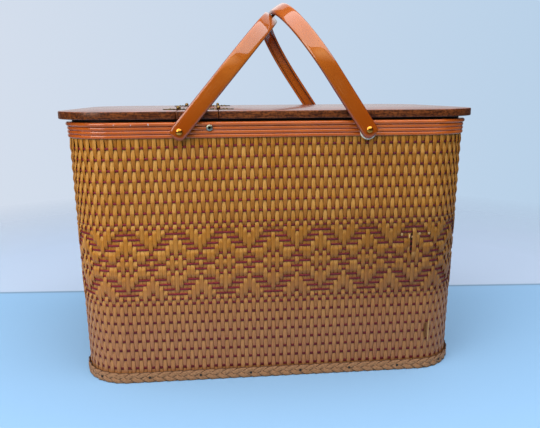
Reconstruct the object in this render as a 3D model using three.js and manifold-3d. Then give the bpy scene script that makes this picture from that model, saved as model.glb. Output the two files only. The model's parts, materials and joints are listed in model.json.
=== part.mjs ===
// Picnic basket: an oblong woven body with a ribbed rim band, a wooden lid in three boards on
// four ornate hinges, and two pressed channel handles that lean together over the lid.
// Millimetres. X runs along the basket, Y from front to back, Z up from the ground.

import * as THREE from 'three';
import { mergeVertices } from 'three/addons/utils/BufferGeometryUtils.js';
import Module from 'manifold-3d';

const wasm = await Module();
wasm.setup();

// Lid boards
const LID_LENGTH = 508;
const LID_DEPTH = 324;
const LID_THICKNESS = 9;
const LID_CORNER_RADIUS = 68;
const LID_TOP = 329.5;
const LID_EDGE_ROUND = 1.2;
const BAR_LEFT_X = -111.5;
const BAR_WIDTH = 48;
const SEAM_GAP = 0.6;

// Woven body, measured on the outside of the weave at the rim
const END_OVERHANG = 12;
const SIDE_OVERHANG = 3.5;
const BODY_CORNER_RADIUS = 60;
const BODY_TAPER = 5.2;
const WALL_THICKNESS = 4;
const WALL_FOOT = 0.5;

// Floor board and foot braid
const FLOOR_THICKNESS = 8;
const BRAID_HEIGHT = 13.8;
const BRAID_THICKNESS = 4.2;

// Rim band and inner hoop
const BAND_HEIGHT = 19;
const BAND_DROP = 2.3;
const BEAD_HEIGHT = 5.2;
const BEAD_PROUD = 3.3;
const RIB_PROUD = 1.9;
const RIB_COUNT = 3;
const BAND_SHEET = 1.0;
const SPLINT_END_GAP = 1.2;
const HOOP_THICKNESS = 6;
const HOOP_HEIGHT = 28;
const HOOP_EASE = 1.5;

// Handles: pressed channel, bent to an arch and pivoted on rivets
const PIVOT_X = 107.7;
const PIVOT_BELOW_LID = 22.5;
const HANDLE_ARM = 176;
const HANDLE_BEND = 99;
const HANDLE_WIDTH = 19;
const CHANNEL_DEPTH = 4.8;
const CHANNEL_SHEET = 1.2;
const LIP_WIDTH = 1.7;
const FACE_CROWN = 0.55;
const SHOULDER = 2.2;
const LEFT_TILT = 40.2;
const RIGHT_TILT = 34;

// Pivot rivets and washers
const RIVET_SHANK = 2.2;
const RIVET_HEAD = 3.95;
const RIVET_DOME = 2.6;
const RIVET_TAIL = 4.6;
const RIVET_TAIL_HEIGHT = 1.6;
const WASHER_THICKNESS = 1.6;
const LEFT_WASHER_RADIUS = 8.2;
const RIGHT_WASHER_RADIUS = 9.7;
const RIGHT_WASHER_SAG = 1.9;

// Bar fixing
const SCREW_X = -74.3;
const SCREW_BELOW_LID = 18.6;
const SCREW_SHANK = 1.9;
const SCREW_HEAD = 3.8;
const SCREW_HEAD_HEIGHT = 2.2;
const CLEAT_LENGTH = 33;
const CLEAT_DEPTH = 22;
const CLEAT_HEIGHT = 20;
const CLEAT_INSET = 3;

// Hinges
const HINGE_INSET = 62;
const BARREL_RADIUS = 2.3;
const BARREL_LENGTH = 22;
const BARREL_CLEAR = 0.2;
const MIDDLE_KNUCKLE = 8;
const PIN_RADIUS = 1.05;
const LEAF_THICKNESS = 0.9;
const LEAF_LENGTH = 19;

// Clearances
const SEAT = 0.3;
const FACE = 0.05;
const HOLE = 0.35;
const RUN = 0.3;

// Positions that follow from the sizes above
const lidUnder = LID_TOP - LID_THICKNESS;
const barRightX = BAR_LEFT_X + BAR_WIDTH;
const hoopTop = lidUnder - SEAT;
const bandTop = lidUnder - BAND_DROP;
const bandFoot = bandTop - BAND_HEIGHT;
const wallTop = bandTop - BAND_SHEET - SPLINT_END_GAP;
const bodyHalfX = LID_LENGTH / 2 - END_OVERHANG;
const bodyHalfY = LID_DEPTH / 2 - SIDE_OVERHANG;
const pivotZ = LID_TOP - PIVOT_BELOW_LID;
const screwZ = LID_TOP - SCREW_BELOW_LID;
const beadY = bodyHalfY + BEAD_PROUD;
const ribY = bodyHalfY + RIB_PROUD;
const hoopOuter = -WALL_THICKNESS - SEAT;
const hoopInner = hoopOuter - HOOP_THICKNESS;
const washerY = beadY + SEAT;
const channelY = washerY + WASHER_THICKNESS + RUN;
const handleY = channelY + CHANNEL_DEPTH;
const hingeY = LID_DEPTH / 2 - HINGE_INSET;
const hingeZ = LID_TOP + BARREL_RADIUS + BARREL_CLEAR;
const leafUnder = FACE - BARREL_RADIUS - BARREL_CLEAR;

const CORNER_STEPS = 9;
const ROUND_STEPS = 16;

// Joins equal points, faces the surface outward and gives a closed solid.
function solidOf(geometry) {
  let g = geometry.clone();
  for (const key of Object.keys(g.attributes)) {
    if (key !== 'position') {
      g.deleteAttribute(key);
    }
  }
  g = mergeVertices(g, 1e-4);
  const p = g.attributes.position;
  const index = Array.from(g.index.array);
  let volume = 0;
  const a = new THREE.Vector3();
  const b = new THREE.Vector3();
  const c = new THREE.Vector3();
  for (let i = 0; i < index.length; i += 3) {
    a.fromBufferAttribute(p, index[i]);
    b.fromBufferAttribute(p, index[i + 1]);
    c.fromBufferAttribute(p, index[i + 2]);
    volume += a.dot(b.cross(c));
  }
  const tris = [];
  for (let i = 0; i < index.length; i += 3) {
    const [q, r, s] = [index[i], index[i + 1], index[i + 2]];
    if (q === r || r === s || s === q) {
      continue;
    }
    if (volume > 0) {
      tris.push(q, r, s);
    } else {
      tris.push(q, s, r);
    }
  }
  return new wasm.Manifold(new wasm.Mesh({
    numProp: 3,
    vertProperties: new Float32Array(p.array),
    triVerts: new Uint32Array(tris),
  }));
}

// Turns a closed solid back into drawable geometry.
function geometryOf(solid) {
  const mesh = solid.getMesh();
  const g = new THREE.BufferGeometry();
  g.setAttribute('position', new THREE.BufferAttribute(new Float32Array(mesh.vertProperties), 3));
  g.setIndex(new THREE.BufferAttribute(new Uint32Array(mesh.triVerts), 1));
  g.computeVertexNormals();
  return g;
}

// A surface through rows of points. Rows may close on themselves; open ends are capped with fans.
function lofted(rows, rowsClose) {
  const n = rows[0].length;
  const position = [];
  const index = [];
  for (const row of rows) {
    for (const v of row) {
      position.push(v[0], v[1], v[2]);
    }
  }
  const last = rowsClose ? rows.length : rows.length - 1;
  for (let i = 0; i < last; i += 1) {
    const k = (i + 1) % rows.length;
    for (let j = 0; j < n; j += 1) {
      const m = (j + 1) % n;
      index.push(i * n + j, i * n + m, k * n + m);
      index.push(i * n + j, k * n + m, k * n + j);
    }
  }
  if (!rowsClose) {
    for (const end of [0, rows.length - 1]) {
      const flat = capPlane(rows[end]);
      const faces = THREE.ShapeUtils.triangulateShape(flat, []);
      for (const f of faces) {
        const t = end === 0 ? [f[2], f[1], f[0]] : f;
        index.push(end * n + t[0], end * n + t[1], end * n + t[2]);
      }
    }
  }
  const g = new THREE.BufferGeometry();
  g.setAttribute('position', new THREE.BufferAttribute(new Float32Array(position), 3));
  g.setIndex(index);
  return g;
}

// Lays one row of points flat, so that its cap can be divided into triangles.
function capPlane(row) {
  const o = new THREE.Vector3(...row[0]);
  const normal = new THREE.Vector3();
  for (let i = 0; i < row.length; i += 1) {
    const a = new THREE.Vector3(...row[i]).sub(o);
    const b = new THREE.Vector3(...row[(i + 1) % row.length]).sub(o);
    normal.add(a.cross(b));
  }
  normal.normalize();
  const u = new THREE.Vector3(...row[1]).sub(o).normalize();
  const v = normal.clone().cross(u);
  return row.map((q) => {
    const d = new THREE.Vector3(...q).sub(o);
    return new THREE.Vector2(d.dot(u), d.dot(v));
  });
}

// The oblong plan with round corners, as points.
function plan(halfX, halfY, radius) {
  const points = [];
  for (let q = 0; q < 4; q += 1) {
    const sx = q === 0 || q === 3 ? 1 : -1;
    const sy = q < 2 ? 1 : -1;
    for (let i = 0; i <= CORNER_STEPS; i += 1) {
      const t = (q + i / CORNER_STEPS) * Math.PI / 2;
      const x = sx * (halfX - radius) + radius * Math.cos(t);
      const y = sy * (halfY - radius) + radius * Math.sin(t);
      points.push([x, y]);
    }
  }
  return points;
}

// The body's plan at a height, moved outward by a distance. The body narrows toward the ground.
function bodyPlan(z, out) {
  const o = out - BODY_TAPER * (1 - z / wallTop);
  return plan(bodyHalfX + o, bodyHalfY + o, BODY_CORNER_RADIUS + o);
}

// A ring round the body with a closed section of [outward, height] points.
function bodyRing(section) {
  const rows = section.map(([out, z]) => bodyPlan(z, out).map(([x, y]) => [x, y, z]));
  return solidOf(lofted(rows, true));
}

// A board cut from a plan outline, its edges rounded over.
function board(shape, bottom, thickness, round) {
  const g = new THREE.ExtrudeGeometry(shape, {
    depth: thickness - 2 * round,
    bevelEnabled: round > 0,
    bevelThickness: round,
    bevelSize: round,
    bevelOffset: -round,
    bevelSegments: 2,
    curveSegments: 10,
  });
  g.translate(0, 0, bottom + round);
  return solidOf(g);
}

// A box from one corner to the other.
function block(lo, hi) {
  const g = new THREE.BoxGeometry(hi[0] - lo[0], hi[1] - lo[1], hi[2] - lo[2]);
  g.translate((lo[0] + hi[0]) / 2, (lo[1] + hi[1]) / 2, (lo[2] + hi[2]) / 2);
  return solidOf(g);
}

// A turned piece with its axis along +Y, from [radius, y] points that start and end on the axis.
function turned(points, steps) {
  const profile = points.map(([r, y]) => new THREE.Vector2(r, y));
  return solidOf(new THREE.LatheGeometry(profile, steps));
}

// A plain round bar along Y.
function roundBar(radius, y0, y1, steps) {
  return turned([[0, y0], [radius, y0], [radius, y1], [0, y1]], steps);
}

// Turns a piece made on the rear side to the front side.
function toFront(solid) {
  return solid.rotate([0, 0, 180]);
}

const group = new THREE.Group();
group.name = 'picnic_basket';

const finishes = {
  weave: { color: 0xb08038, roughness: 0.45, metalness: 0 },
  braid: { color: 0x94704a, roughness: 0.6, metalness: 0 },
  floor_wood: { color: 0xa98558, roughness: 0.6, metalness: 0 },
  hoop_wood: { color: 0xb08c5a, roughness: 0.55, metalness: 0 },
  lid_wood: { color: 0x6f4329, roughness: 0.4, metalness: 0 },
  enamel: { color: 0xa8552a, roughness: 0.25, metalness: 0.1 },
  brass: { color: 0xb08d4a, roughness: 0.35, metalness: 0.9 },
  steel: { color: 0xc4c6c8, roughness: 0.3, metalness: 0.9 },
  washer: { color: 0xd8dadb, roughness: 0.4, metalness: 0.6 },
};

function place(name, solid, finish) {
  const material = new THREE.MeshStandardMaterial(finishes[finish]);
  const mesh = new THREE.Mesh(geometryOf(solid), material);
  mesh.name = name;
  group.add(mesh);
}

// Pivot and screw stations: x, height and shank radius, front and rear alike.
const pivots = [
  { side: 'left', x: -PIVOT_X, washer: LEFT_WASHER_RADIUS, sag: 0 },
  { side: 'right', x: PIVOT_X, washer: RIGHT_WASHER_RADIUS, sag: RIGHT_WASHER_SAG },
];

// Drills through a wall piece at every pivot and at the bar screws.
function drilled(solid) {
  let out = solid;
  for (const pivot of pivots) {
    const bore = roundBar(RIVET_SHANK + HOLE, -handleY, handleY, ROUND_STEPS);
    out = out.subtract(bore.translate([pivot.x, 0, pivotZ]));
  }
  const bore = roundBar(SCREW_SHANK + HOLE, -handleY, handleY, ROUND_STEPS);
  return out.subtract(bore.translate([SCREW_X, 0, screwZ]));
}

// Woven body: an open wall that narrows to the foot
const wallSection = [
  [0, WALL_FOOT],
  [0, wallTop / 3],
  [0, wallTop],
  [-WALL_THICKNESS, wallTop],
  [-WALL_THICKNESS, WALL_FOOT],
];
place('woven_body', drilled(bodyRing(wallSection)), 'weave');

// Floor board inside the foot of the wall
const floorInset = -BODY_TAPER - WALL_THICKNESS - SEAT;
const floorShape = new THREE.Shape();
plan(bodyHalfX + floorInset, bodyHalfY + floorInset, BODY_CORNER_RADIUS + floorInset)
  .forEach(([x, y], i) => (i ? floorShape.lineTo(x, y) : floorShape.moveTo(x, y)));
place('floor_board', board(floorShape, 0, FLOOR_THICKNESS, 0), 'floor_wood');

// Foot braid: a flat plait laid round the foot, covering the nailed splint ends
const braidSection = [
  [SEAT / 2, 0],
  [BRAID_THICKNESS * 0.72, 0],
  [BRAID_THICKNESS * 0.94, BRAID_HEIGHT * 0.1],
  [BRAID_THICKNESS, BRAID_HEIGHT * 0.3],
  [BRAID_THICKNESS, BRAID_HEIGHT * 0.72],
  [BRAID_THICKNESS * 0.9, BRAID_HEIGHT * 0.91],
  [BRAID_THICKNESS * 0.6, BRAID_HEIGHT],
  [SEAT / 2, BRAID_HEIGHT],
];
place('foot_braid', bodyRing(braidSection), 'braid');

// Rim band: rolled sheet with a bold bead that folds over the cut splints, and ribs below it
const bandSection = [];
const ribPitch = (BAND_HEIGHT - BEAD_HEIGHT) / RIB_COUNT;
bandSection.push([SEAT, bandFoot]);
for (let i = RIB_COUNT - 1; i >= 0; i -= 1) {
  const low = bandTop - BEAD_HEIGHT - (i + 1) * ribPitch;
  bandSection.push([BAND_SHEET, low + (i === RIB_COUNT - 1 ? 0 : ribPitch * 0.1)]);
  bandSection.push([RIB_PROUD * 0.87, low + ribPitch * 0.26]);
  bandSection.push([RIB_PROUD, low + ribPitch * 0.5]);
  bandSection.push([RIB_PROUD * 0.87, low + ribPitch * 0.74]);
  bandSection.push([BAND_SHEET, low + ribPitch * 0.9]);
}
for (let i = 1; i <= 6; i += 1) {
  const t = (i / 7) * Math.PI;
  const out = BAND_SHEET + (BEAD_PROUD - BAND_SHEET) * Math.sin(t);
  bandSection.push([out, bandTop - BEAD_HEIGHT / 2 - (BEAD_HEIGHT / 2) * Math.cos(t)]);
}
bandSection.push([SEAT, bandTop]);
bandSection.push([hoopOuter + SEAT, bandTop]);
bandSection.push([hoopOuter + SEAT, bandTop - BAND_SHEET]);
bandSection.push([SEAT, bandTop - BAND_SHEET]);
let band = drilled(bodyRing(bandSection));
const screwSeat = roundBar(SCREW_HEAD + HOLE, ribY, handleY, ROUND_STEPS);
band = band.subtract(screwSeat.translate([SCREW_X, 0, screwZ]));
band = band.subtract(toFront(screwSeat).translate([SCREW_X, 0, screwZ]));
place('rim_band', band, 'enamel');

// Inner hoop: bent wood that the lid rests on, its inner edges eased
const hoopSection = [
  [hoopOuter, hoopTop - HOOP_HEIGHT],
  [hoopOuter, hoopTop],
  [hoopInner + HOOP_EASE, hoopTop],
  [hoopInner, hoopTop - HOOP_EASE],
  [hoopInner, hoopTop - HOOP_HEIGHT + HOOP_EASE],
  [hoopInner + HOOP_EASE, hoopTop - HOOP_HEIGHT],
];
place('inner_hoop', drilled(bodyRing(hoopSection)), 'hoop_wood');

// Lid: one outline with round corners, sawn into a short flap, a fixed bar and a long flap
const lidX = LID_LENGTH / 2;
const lidY = LID_DEPTH / 2;

// A flap from its sawn edge to one end of the lid. The sign gives the end.
function flapShape(sawnX, sign) {
  const r = LID_CORNER_RADIUS;
  const cx = sign * (lidX - r);
  const cy = lidY - r;
  const shape = new THREE.Shape();
  shape.moveTo(sawnX, -lidY);
  shape.lineTo(cx, -lidY);
  shape.absarc(cx, -cy, r, -Math.PI / 2, sign > 0 ? 0 : -Math.PI, sign < 0);
  shape.absarc(cx, cy, r, sign > 0 ? 0 : Math.PI, Math.PI / 2, sign < 0);
  shape.lineTo(sawnX, lidY);
  shape.closePath();
  return shape;
}
const leftFlap = flapShape(BAR_LEFT_X - SEAM_GAP / 2, -1);
const rightFlap = flapShape(barRightX + SEAM_GAP / 2, 1);
place('left_flap', board(leftFlap, lidUnder, LID_THICKNESS, LID_EDGE_ROUND), 'lid_wood');
place('right_flap', board(rightFlap, lidUnder, LID_THICKNESS, LID_EDGE_ROUND), 'lid_wood');

const barShape = new THREE.Shape();
barShape.moveTo(BAR_LEFT_X + SEAM_GAP / 2, -lidY);
barShape.lineTo(barRightX - SEAM_GAP / 2, -lidY);
barShape.lineTo(barRightX - SEAM_GAP / 2, lidY);
barShape.lineTo(BAR_LEFT_X + SEAM_GAP / 2, lidY);
barShape.closePath();
place('lid_bar', board(barShape, lidUnder, LID_THICKNESS, LID_EDGE_ROUND), 'lid_wood');

// Cleats under the bar, inside the hoop, that take the rim screws
const cleatOuter = bodyHalfY + hoopInner - SEAT - BODY_TAPER * (1 - (lidUnder - CLEAT_HEIGHT) / wallTop);
const cleatRight = barRightX - CLEAT_INSET;
let cleat = block(
  [cleatRight - CLEAT_LENGTH, cleatOuter - CLEAT_DEPTH, lidUnder - CLEAT_HEIGHT],
  [cleatRight, cleatOuter, lidUnder - FACE],
);
const pilot = roundBar(SCREW_SHANK + FACE, cleatOuter - CLEAT_DEPTH * 0.7, handleY, ROUND_STEPS);
cleat = cleat.subtract(pilot.translate([SCREW_X, 0, screwZ]));
place('bar_cleat_rear', cleat, 'hoop_wood');
place('bar_cleat_front', cleat.mirror([0, 1, 0]), 'hoop_wood');

// Bar screws: round pan head, plain shank and point
const screwFace = ribY + FACE;
const screwProfile = [
  [0, cleatOuter - CLEAT_DEPTH * 0.64],
  [SCREW_SHANK * 0.9, cleatOuter - CLEAT_DEPTH * 0.45],
  [SCREW_SHANK, cleatOuter - CLEAT_DEPTH * 0.4],
  [SCREW_SHANK, screwFace],
  [SCREW_HEAD, screwFace],
  [SCREW_HEAD, screwFace + SCREW_HEAD_HEIGHT * 0.35],
  [SCREW_HEAD * 0.86, screwFace + SCREW_HEAD_HEIGHT * 0.75],
  [SCREW_HEAD * 0.5, screwFace + SCREW_HEAD_HEIGHT * 0.97],
  [0, screwFace + SCREW_HEAD_HEIGHT],
];
const screw = turned(screwProfile, ROUND_STEPS);
place('bar_screw_rear', screw.translate([SCREW_X, 0, screwZ]), 'steel');
place('bar_screw_front', toFront(screw).translate([SCREW_X, 0, screwZ]), 'steel');

// Channel section of a handle: crowned face, rounded shoulders, lips turned in.
// Points are [across, outward], with the face's middle at zero.
const halfWidth = HANDLE_WIDTH / 2;
const inside = halfWidth - CHANNEL_SHEET;
const channelOuter = [
  [0, 0],
  [halfWidth * 0.45, -FACE_CROWN * 0.22],
  [halfWidth * 0.85, -FACE_CROWN],
  [halfWidth * 0.96, -SHOULDER * 0.55],
  [halfWidth, -SHOULDER],
  [halfWidth, -CHANNEL_DEPTH],
];
const channelInner = [
  [0, -CHANNEL_SHEET],
  [inside * 0.48, -CHANNEL_SHEET - FACE_CROWN * 0.22],
  [inside * 0.9, -CHANNEL_SHEET - FACE_CROWN],
  [inside, -CHANNEL_SHEET - SHOULDER * 0.55],
  [inside, -CHANNEL_DEPTH + CHANNEL_SHEET],
  [halfWidth - LIP_WIDTH - CHANNEL_SHEET, -CHANNEL_DEPTH + CHANNEL_SHEET],
  [halfWidth - LIP_WIDTH - CHANNEL_SHEET, -CHANNEL_DEPTH - 1],
];

// The arch of the handle's face from the front pivot over the top to the rear pivot.
function archPath() {
  const stations = [];
  const flat = handleY - HANDLE_BEND;
  const rise = HANDLE_ARM - HANDLE_BEND;
  const steps = 12;
  stations.push({ y: -handleY, z: 0, ny: -1, nz: 0 });
  for (let i = 0; i <= steps; i += 1) {
    const t = Math.PI - (i / steps) * Math.PI / 2;
    const ny = Math.cos(t);
    const nz = Math.sin(t);
    stations.push({ y: -flat + HANDLE_BEND * ny, z: rise + HANDLE_BEND * nz, ny, nz });
  }
  for (let i = 0; i <= steps; i += 1) {
    const t = Math.PI / 2 - (i / steps) * Math.PI / 2;
    const ny = Math.cos(t);
    const nz = Math.sin(t);
    stations.push({ y: flat + HANDLE_BEND * ny, z: rise + HANDLE_BEND * nz, ny, nz });
  }
  stations.push({ y: handleY, z: 0, ny: 1, nz: 0 });
  return stations;
}

// A half section carried along the arch on both sides, with the same section turned at each end.
function archSolid(half) {
  const mirrored = half.slice(1).reverse().map(([u, v]) => [-u, v]);
  const section = mirrored.concat(half);
  const rows = archPath().map((s) => section.map(([u, v]) => [u, s.y + s.ny * v, s.z + s.nz * v]));
  let solid = solidOf(lofted(rows, false));
  const profile = half.map(([u, v]) => [u, handleY + v]);
  profile.push([0, profile[profile.length - 1][1]]);
  const cap = turned(profile, 20);
  solid = solid.add(cap);
  return solid.add(toFront(cap));
}

let handle = archSolid(channelOuter).subtract(archSolid(channelInner));
const rivetHole = roundBar(RIVET_SHANK + HOLE, -handleY - 1, handleY + 1, ROUND_STEPS);
handle = handle.subtract(rivetHole);
place('left_handle', handle.rotate([0, LEFT_TILT, 0]).translate([-PIVOT_X, 0, pivotZ]), 'enamel');
place('right_handle', handle.rotate([0, -RIGHT_TILT, 0]).translate([PIVOT_X, 0, pivotZ]), 'enamel');

// Pivot rivets: domed head outside, shank through band, wall and hoop, spread tail inside
const tailY = bodyHalfY + hoopInner - BODY_TAPER * (1 - pivotZ / wallTop) - SEAT;
const rivetProfile = [
  [0, tailY - RIVET_TAIL_HEIGHT],
  [RIVET_TAIL * 0.8, tailY - RIVET_TAIL_HEIGHT * 0.8],
  [RIVET_TAIL, tailY - RIVET_TAIL_HEIGHT * 0.4],
  [RIVET_TAIL, tailY],
  [RIVET_SHANK, tailY],
  [RIVET_SHANK, handleY + FACE],
  [RIVET_HEAD, handleY + FACE],
  [RIVET_HEAD * 0.93, handleY + FACE + RIVET_DOME * 0.45],
  [RIVET_HEAD * 0.66, handleY + FACE + RIVET_DOME * 0.82],
  [0, handleY + FACE + RIVET_DOME],
];
const rivet = turned(rivetProfile, ROUND_STEPS);
for (const pivot of pivots) {
  place(`${pivot.side}_rivet_rear`, rivet.translate([pivot.x, 0, pivotZ]), 'brass');
  place(`${pivot.side}_rivet_front`, toFront(rivet).translate([pivot.x, 0, pivotZ]), 'brass');
}

// Pivot washers between band and handle; a slack one hangs on its rivet
for (const pivot of pivots) {
  const eye = roundBar(RIVET_SHANK + HOLE + pivot.sag, 0, handleY + 1, ROUND_STEPS);
  const disc = roundBar(pivot.washer, washerY, washerY + WASHER_THICKNESS, 24);
  const washer = disc.subtract(eye);
  const height = pivotZ - pivot.sag;
  place(`${pivot.side}_washer_rear`, washer.translate([pivot.x, 0, height]), 'washer');
  place(`${pivot.side}_washer_front`, toFront(washer).translate([pivot.x, 0, height]), 'washer');
}

// Hinge leaf outline: a straight edge at the barrel, a waist, two side lobes and a drop-shaped tip
function leafShape() {
  const near = BARREL_RADIUS + 0.3;
  const half = BARREL_LENGTH / 2 - 0.6;
  const lobe = LEAF_LENGTH * 0.22;
  const lobeX = LEAF_LENGTH * 0.55;
  const lobeY = half * 0.5;
  const tip = LEAF_LENGTH * 0.17;
  const tipX = LEAF_LENGTH - tip;
  const shape = new THREE.Shape();
  shape.moveTo(near, -half);
  shape.lineTo(near + 2, -half);
  shape.quadraticCurveTo(lobeX - lobe, -half * 0.75, lobeX - lobe * 0.95, -lobeY - lobe * 0.3);
  shape.absarc(lobeX, -lobeY, lobe, Math.PI * 1.1, Math.PI * 2.1, false);
  shape.absarc(tipX, 0, tip, Math.PI * 1.35, Math.PI * 2.65, false);
  shape.absarc(lobeX, lobeY, lobe, Math.PI * 1.9, Math.PI * 2.9, false);
  shape.quadraticCurveTo(lobeX - lobe, half * 0.75, near + 2, half);
  shape.lineTo(near, half);
  shape.closePath();
  const eye = new THREE.Path();
  eye.absarc(lobeX - lobe * 0.55, 0, LEAF_LENGTH * 0.075, 0, Math.PI * 2, true);
  shape.holes.push(eye);
  return shape;
}

// A leaf lying to +X of the barrel, with knuckles over the given spans of Y.
function hingeLeaf(spans) {
  const plate = new THREE.ExtrudeGeometry(leafShape(), {
    depth: LEAF_THICKNESS,
    bevelEnabled: false,
    curveSegments: 5,
  });
  let leaf = solidOf(plate.translate(0, 0, leafUnder));
  for (const [y0, y1] of spans) {
    const web = block([0, y0, leafUnder + BARREL_CLEAR], [BARREL_RADIUS + 1, y1, leafUnder + LEAF_THICKNESS]);
    leaf = leaf.add(roundBar(BARREL_RADIUS, y0, y1, 12)).add(web);
  }
  return leaf.subtract(roundBar(PIN_RADIUS + RUN, -BARREL_LENGTH, BARREL_LENGTH, 8));
}
const middle = MIDDLE_KNUCKLE / 2;
const end = BARREL_LENGTH / 2;
const barLeaf = hingeLeaf([[-end, -middle - RUN], [middle + RUN, end]]);
const flapLeaf = hingeLeaf([[-middle, middle]]);
const ball = PIN_RADIUS * 1.7;
const pinEnd = end + RUN;
const pin = turned([
  [0, -pinEnd - ball * 1.7],
  [ball * 0.75, -pinEnd - ball * 1.35],
  [ball, -pinEnd - ball * 0.8],
  [ball * 0.8, -pinEnd],
  [PIN_RADIUS, -pinEnd],
  [PIN_RADIUS, pinEnd],
  [ball * 0.8, pinEnd],
  [ball, pinEnd + ball * 0.8],
  [ball * 0.75, pinEnd + ball * 1.35],
  [0, pinEnd + ball * 1.7],
], 10);
const seams = [
  { side: 'left', x: BAR_LEFT_X, barTurn: 0 },
  { side: 'right', x: barRightX, barTurn: 180 },
];
for (const seam of seams) {
  for (const [row, y] of [['front', -hingeY], ['rear', hingeY]]) {
    const at = [seam.x, y, hingeZ];
    const name = `${seam.side}_hinge_${row}`;
    place(`${name}_bar_leaf`, barLeaf.rotate([0, 0, seam.barTurn]).translate(at), 'brass');
    place(`${name}_flap_leaf`, flapLeaf.rotate([0, 0, seam.barTurn + 180]).translate(at), 'brass');
    place(`${name}_pin`, pin.translate(at), 'brass');
  }
}

export default group;
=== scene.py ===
# A split-wood picnic basket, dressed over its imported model: woven walls on a board floor,
# an enamelled rim band, a wooden lid in three boards and two enamelled arch handles.
import json
import math
import bmesh
import bpy
import numpy as np
from mathutils import Matrix, Vector


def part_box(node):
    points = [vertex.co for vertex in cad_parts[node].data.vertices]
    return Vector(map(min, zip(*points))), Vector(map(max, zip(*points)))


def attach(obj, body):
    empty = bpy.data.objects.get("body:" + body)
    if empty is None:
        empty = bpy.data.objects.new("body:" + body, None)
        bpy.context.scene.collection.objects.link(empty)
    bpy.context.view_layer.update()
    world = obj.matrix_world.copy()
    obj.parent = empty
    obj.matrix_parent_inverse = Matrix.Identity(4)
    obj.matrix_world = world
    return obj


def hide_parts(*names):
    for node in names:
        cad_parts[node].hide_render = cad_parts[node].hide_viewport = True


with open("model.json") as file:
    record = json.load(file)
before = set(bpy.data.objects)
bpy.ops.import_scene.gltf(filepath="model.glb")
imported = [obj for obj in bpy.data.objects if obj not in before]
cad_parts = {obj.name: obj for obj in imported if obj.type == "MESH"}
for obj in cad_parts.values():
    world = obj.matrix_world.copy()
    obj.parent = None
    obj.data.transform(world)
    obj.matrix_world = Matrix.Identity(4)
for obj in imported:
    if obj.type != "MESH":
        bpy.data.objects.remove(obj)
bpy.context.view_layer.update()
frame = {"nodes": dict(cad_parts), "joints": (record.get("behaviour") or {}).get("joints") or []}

# Camera: a little above the lid and left of the middle, looking down along the basket's front.
# Its place, turn and focal length in pixels were fitted to the photograph of 540 by 428 pixels.
PHOTO_WIDTH = 540
FOCAL_PIXELS = 562.207
CAMERA_PLACE = (-0.06664, -0.80301, 0.34814)
CAMERA_YAW = -0.09342
CAMERA_PITCH = -0.21121
CAMERA_ROLL = -0.00634

camera_data = bpy.data.cameras.new("photo_camera")
camera_data.sensor_fit = "HORIZONTAL"
camera_data.sensor_width = 36.0
camera_data.lens = FOCAL_PIXELS * camera_data.sensor_width / PHOTO_WIDTH
camera_data.clip_start = 0.01
camera = bpy.data.objects.new("photo_camera", camera_data)
camera.matrix_world = (
    Matrix.Translation(CAMERA_PLACE) @ Matrix.Rotation(CAMERA_YAW, 4, "Z")
    @ Matrix.Rotation(math.pi / 2 + CAMERA_PITCH, 4, "X") @ Matrix.Rotation(CAMERA_ROLL, 4, "Z"))
bpy.context.collection.objects.link(camera)
bpy.context.scene.camera = camera

# Floor board: one plain board of pale softwood, sawn to the basket's oblong and left bare.
# The splints are nailed round its edge, so it carries the whole weave.
BOARD_WOOD = ((0.30, 0.17, 0.075), (0.52, 0.36, 0.19))
BOARD_BAND = (0.72, 0.68, 0.62)
WHITE = (1.0, 1.0, 1.0)


def plug(tree, value, socket):
    """Links an output to an input, or sets the input to a plain value."""
    if hasattr(value, "is_output"):
        tree.links.new(value, socket)
    else:
        socket.default_value = value


def add_node(holder, kind, *values, **settings):
    """Adds a node to a tree or its holder. Values fill its inputs in order; settings go by name."""
    tree = getattr(holder, "node_tree", holder)
    node = tree.nodes.new(kind)
    labels = {key: key.replace("_", " ").title() for key in settings}
    for key, label in labels.items():
        if label not in node.inputs:
            setattr(node, key, settings[key])
    for value, socket in zip(values, node.inputs):
        plug(tree, value, socket)
    for key, label in labels.items():
        if label in node.inputs:
            plug(tree, settings[key], node.inputs[label])
    return node


def maths(holder, operation, *values):
    """One step of arithmetic."""
    return add_node(holder, "ShaderNodeMath", *values, operation=operation).outputs[0]


def own_place(finish, attribute=None):
    """The piece's own coordinates, or one of its attributes."""
    if attribute:
        return add_node(finish, "ShaderNodeAttribute", attribute_name=attribute).outputs["Vector"]
    return add_node(finish, "ShaderNodeTexCoord").outputs["Object"]


def part_of(finish, axis, attribute=None):
    """One part of the piece's coordinates or of an attribute."""
    return add_node(finish, "ShaderNodeSeparateXYZ", own_place(finish, attribute)).outputs[axis]


def grain_noise(finish, stretch, detail, attribute=None):
    """Noise drawn out along some axes."""
    spot = add_node(finish, "ShaderNodeMapping", vector=own_place(finish, attribute), scale=stretch)
    noise = add_node(finish, "ShaderNodeTexNoise", vector=spot.outputs[0], scale=1.0, detail=detail)
    return noise.outputs["Fac"]


def ramp(finish, source, places, colours):
    """Colours at places along a value."""
    node = add_node(finish, "ShaderNodeValToRGB", source)
    elements = node.color_ramp.elements
    while len(elements) < len(places):
        elements.new(0.5)
    for element, place, colour in zip(elements, places, colours):
        element.position = place
        element.color = (*colour, 1.0)
    return node.outputs[0]


def remapped(holder, source, low, high, to_low=0.0, to_high=1.0):
    """A value moved from one range to another, and held within it."""
    return add_node(holder, "ShaderNodeMapRange", source, low, high, to_low, to_high).outputs[0]


def mixed(holder, factor, low, high, blend="MIX"):
    """Mixes two colours by a factor; each is an output or a plain value."""
    node = add_node(holder, "ShaderNodeMix", data_type="RGBA", blend_type=blend)
    for index, value in ((0, factor), (6, low), (7, high)):
        plug(holder.node_tree, (*value, 1.0) if isinstance(value, tuple) else value, node.inputs[index])
    return node.outputs[2]


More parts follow.
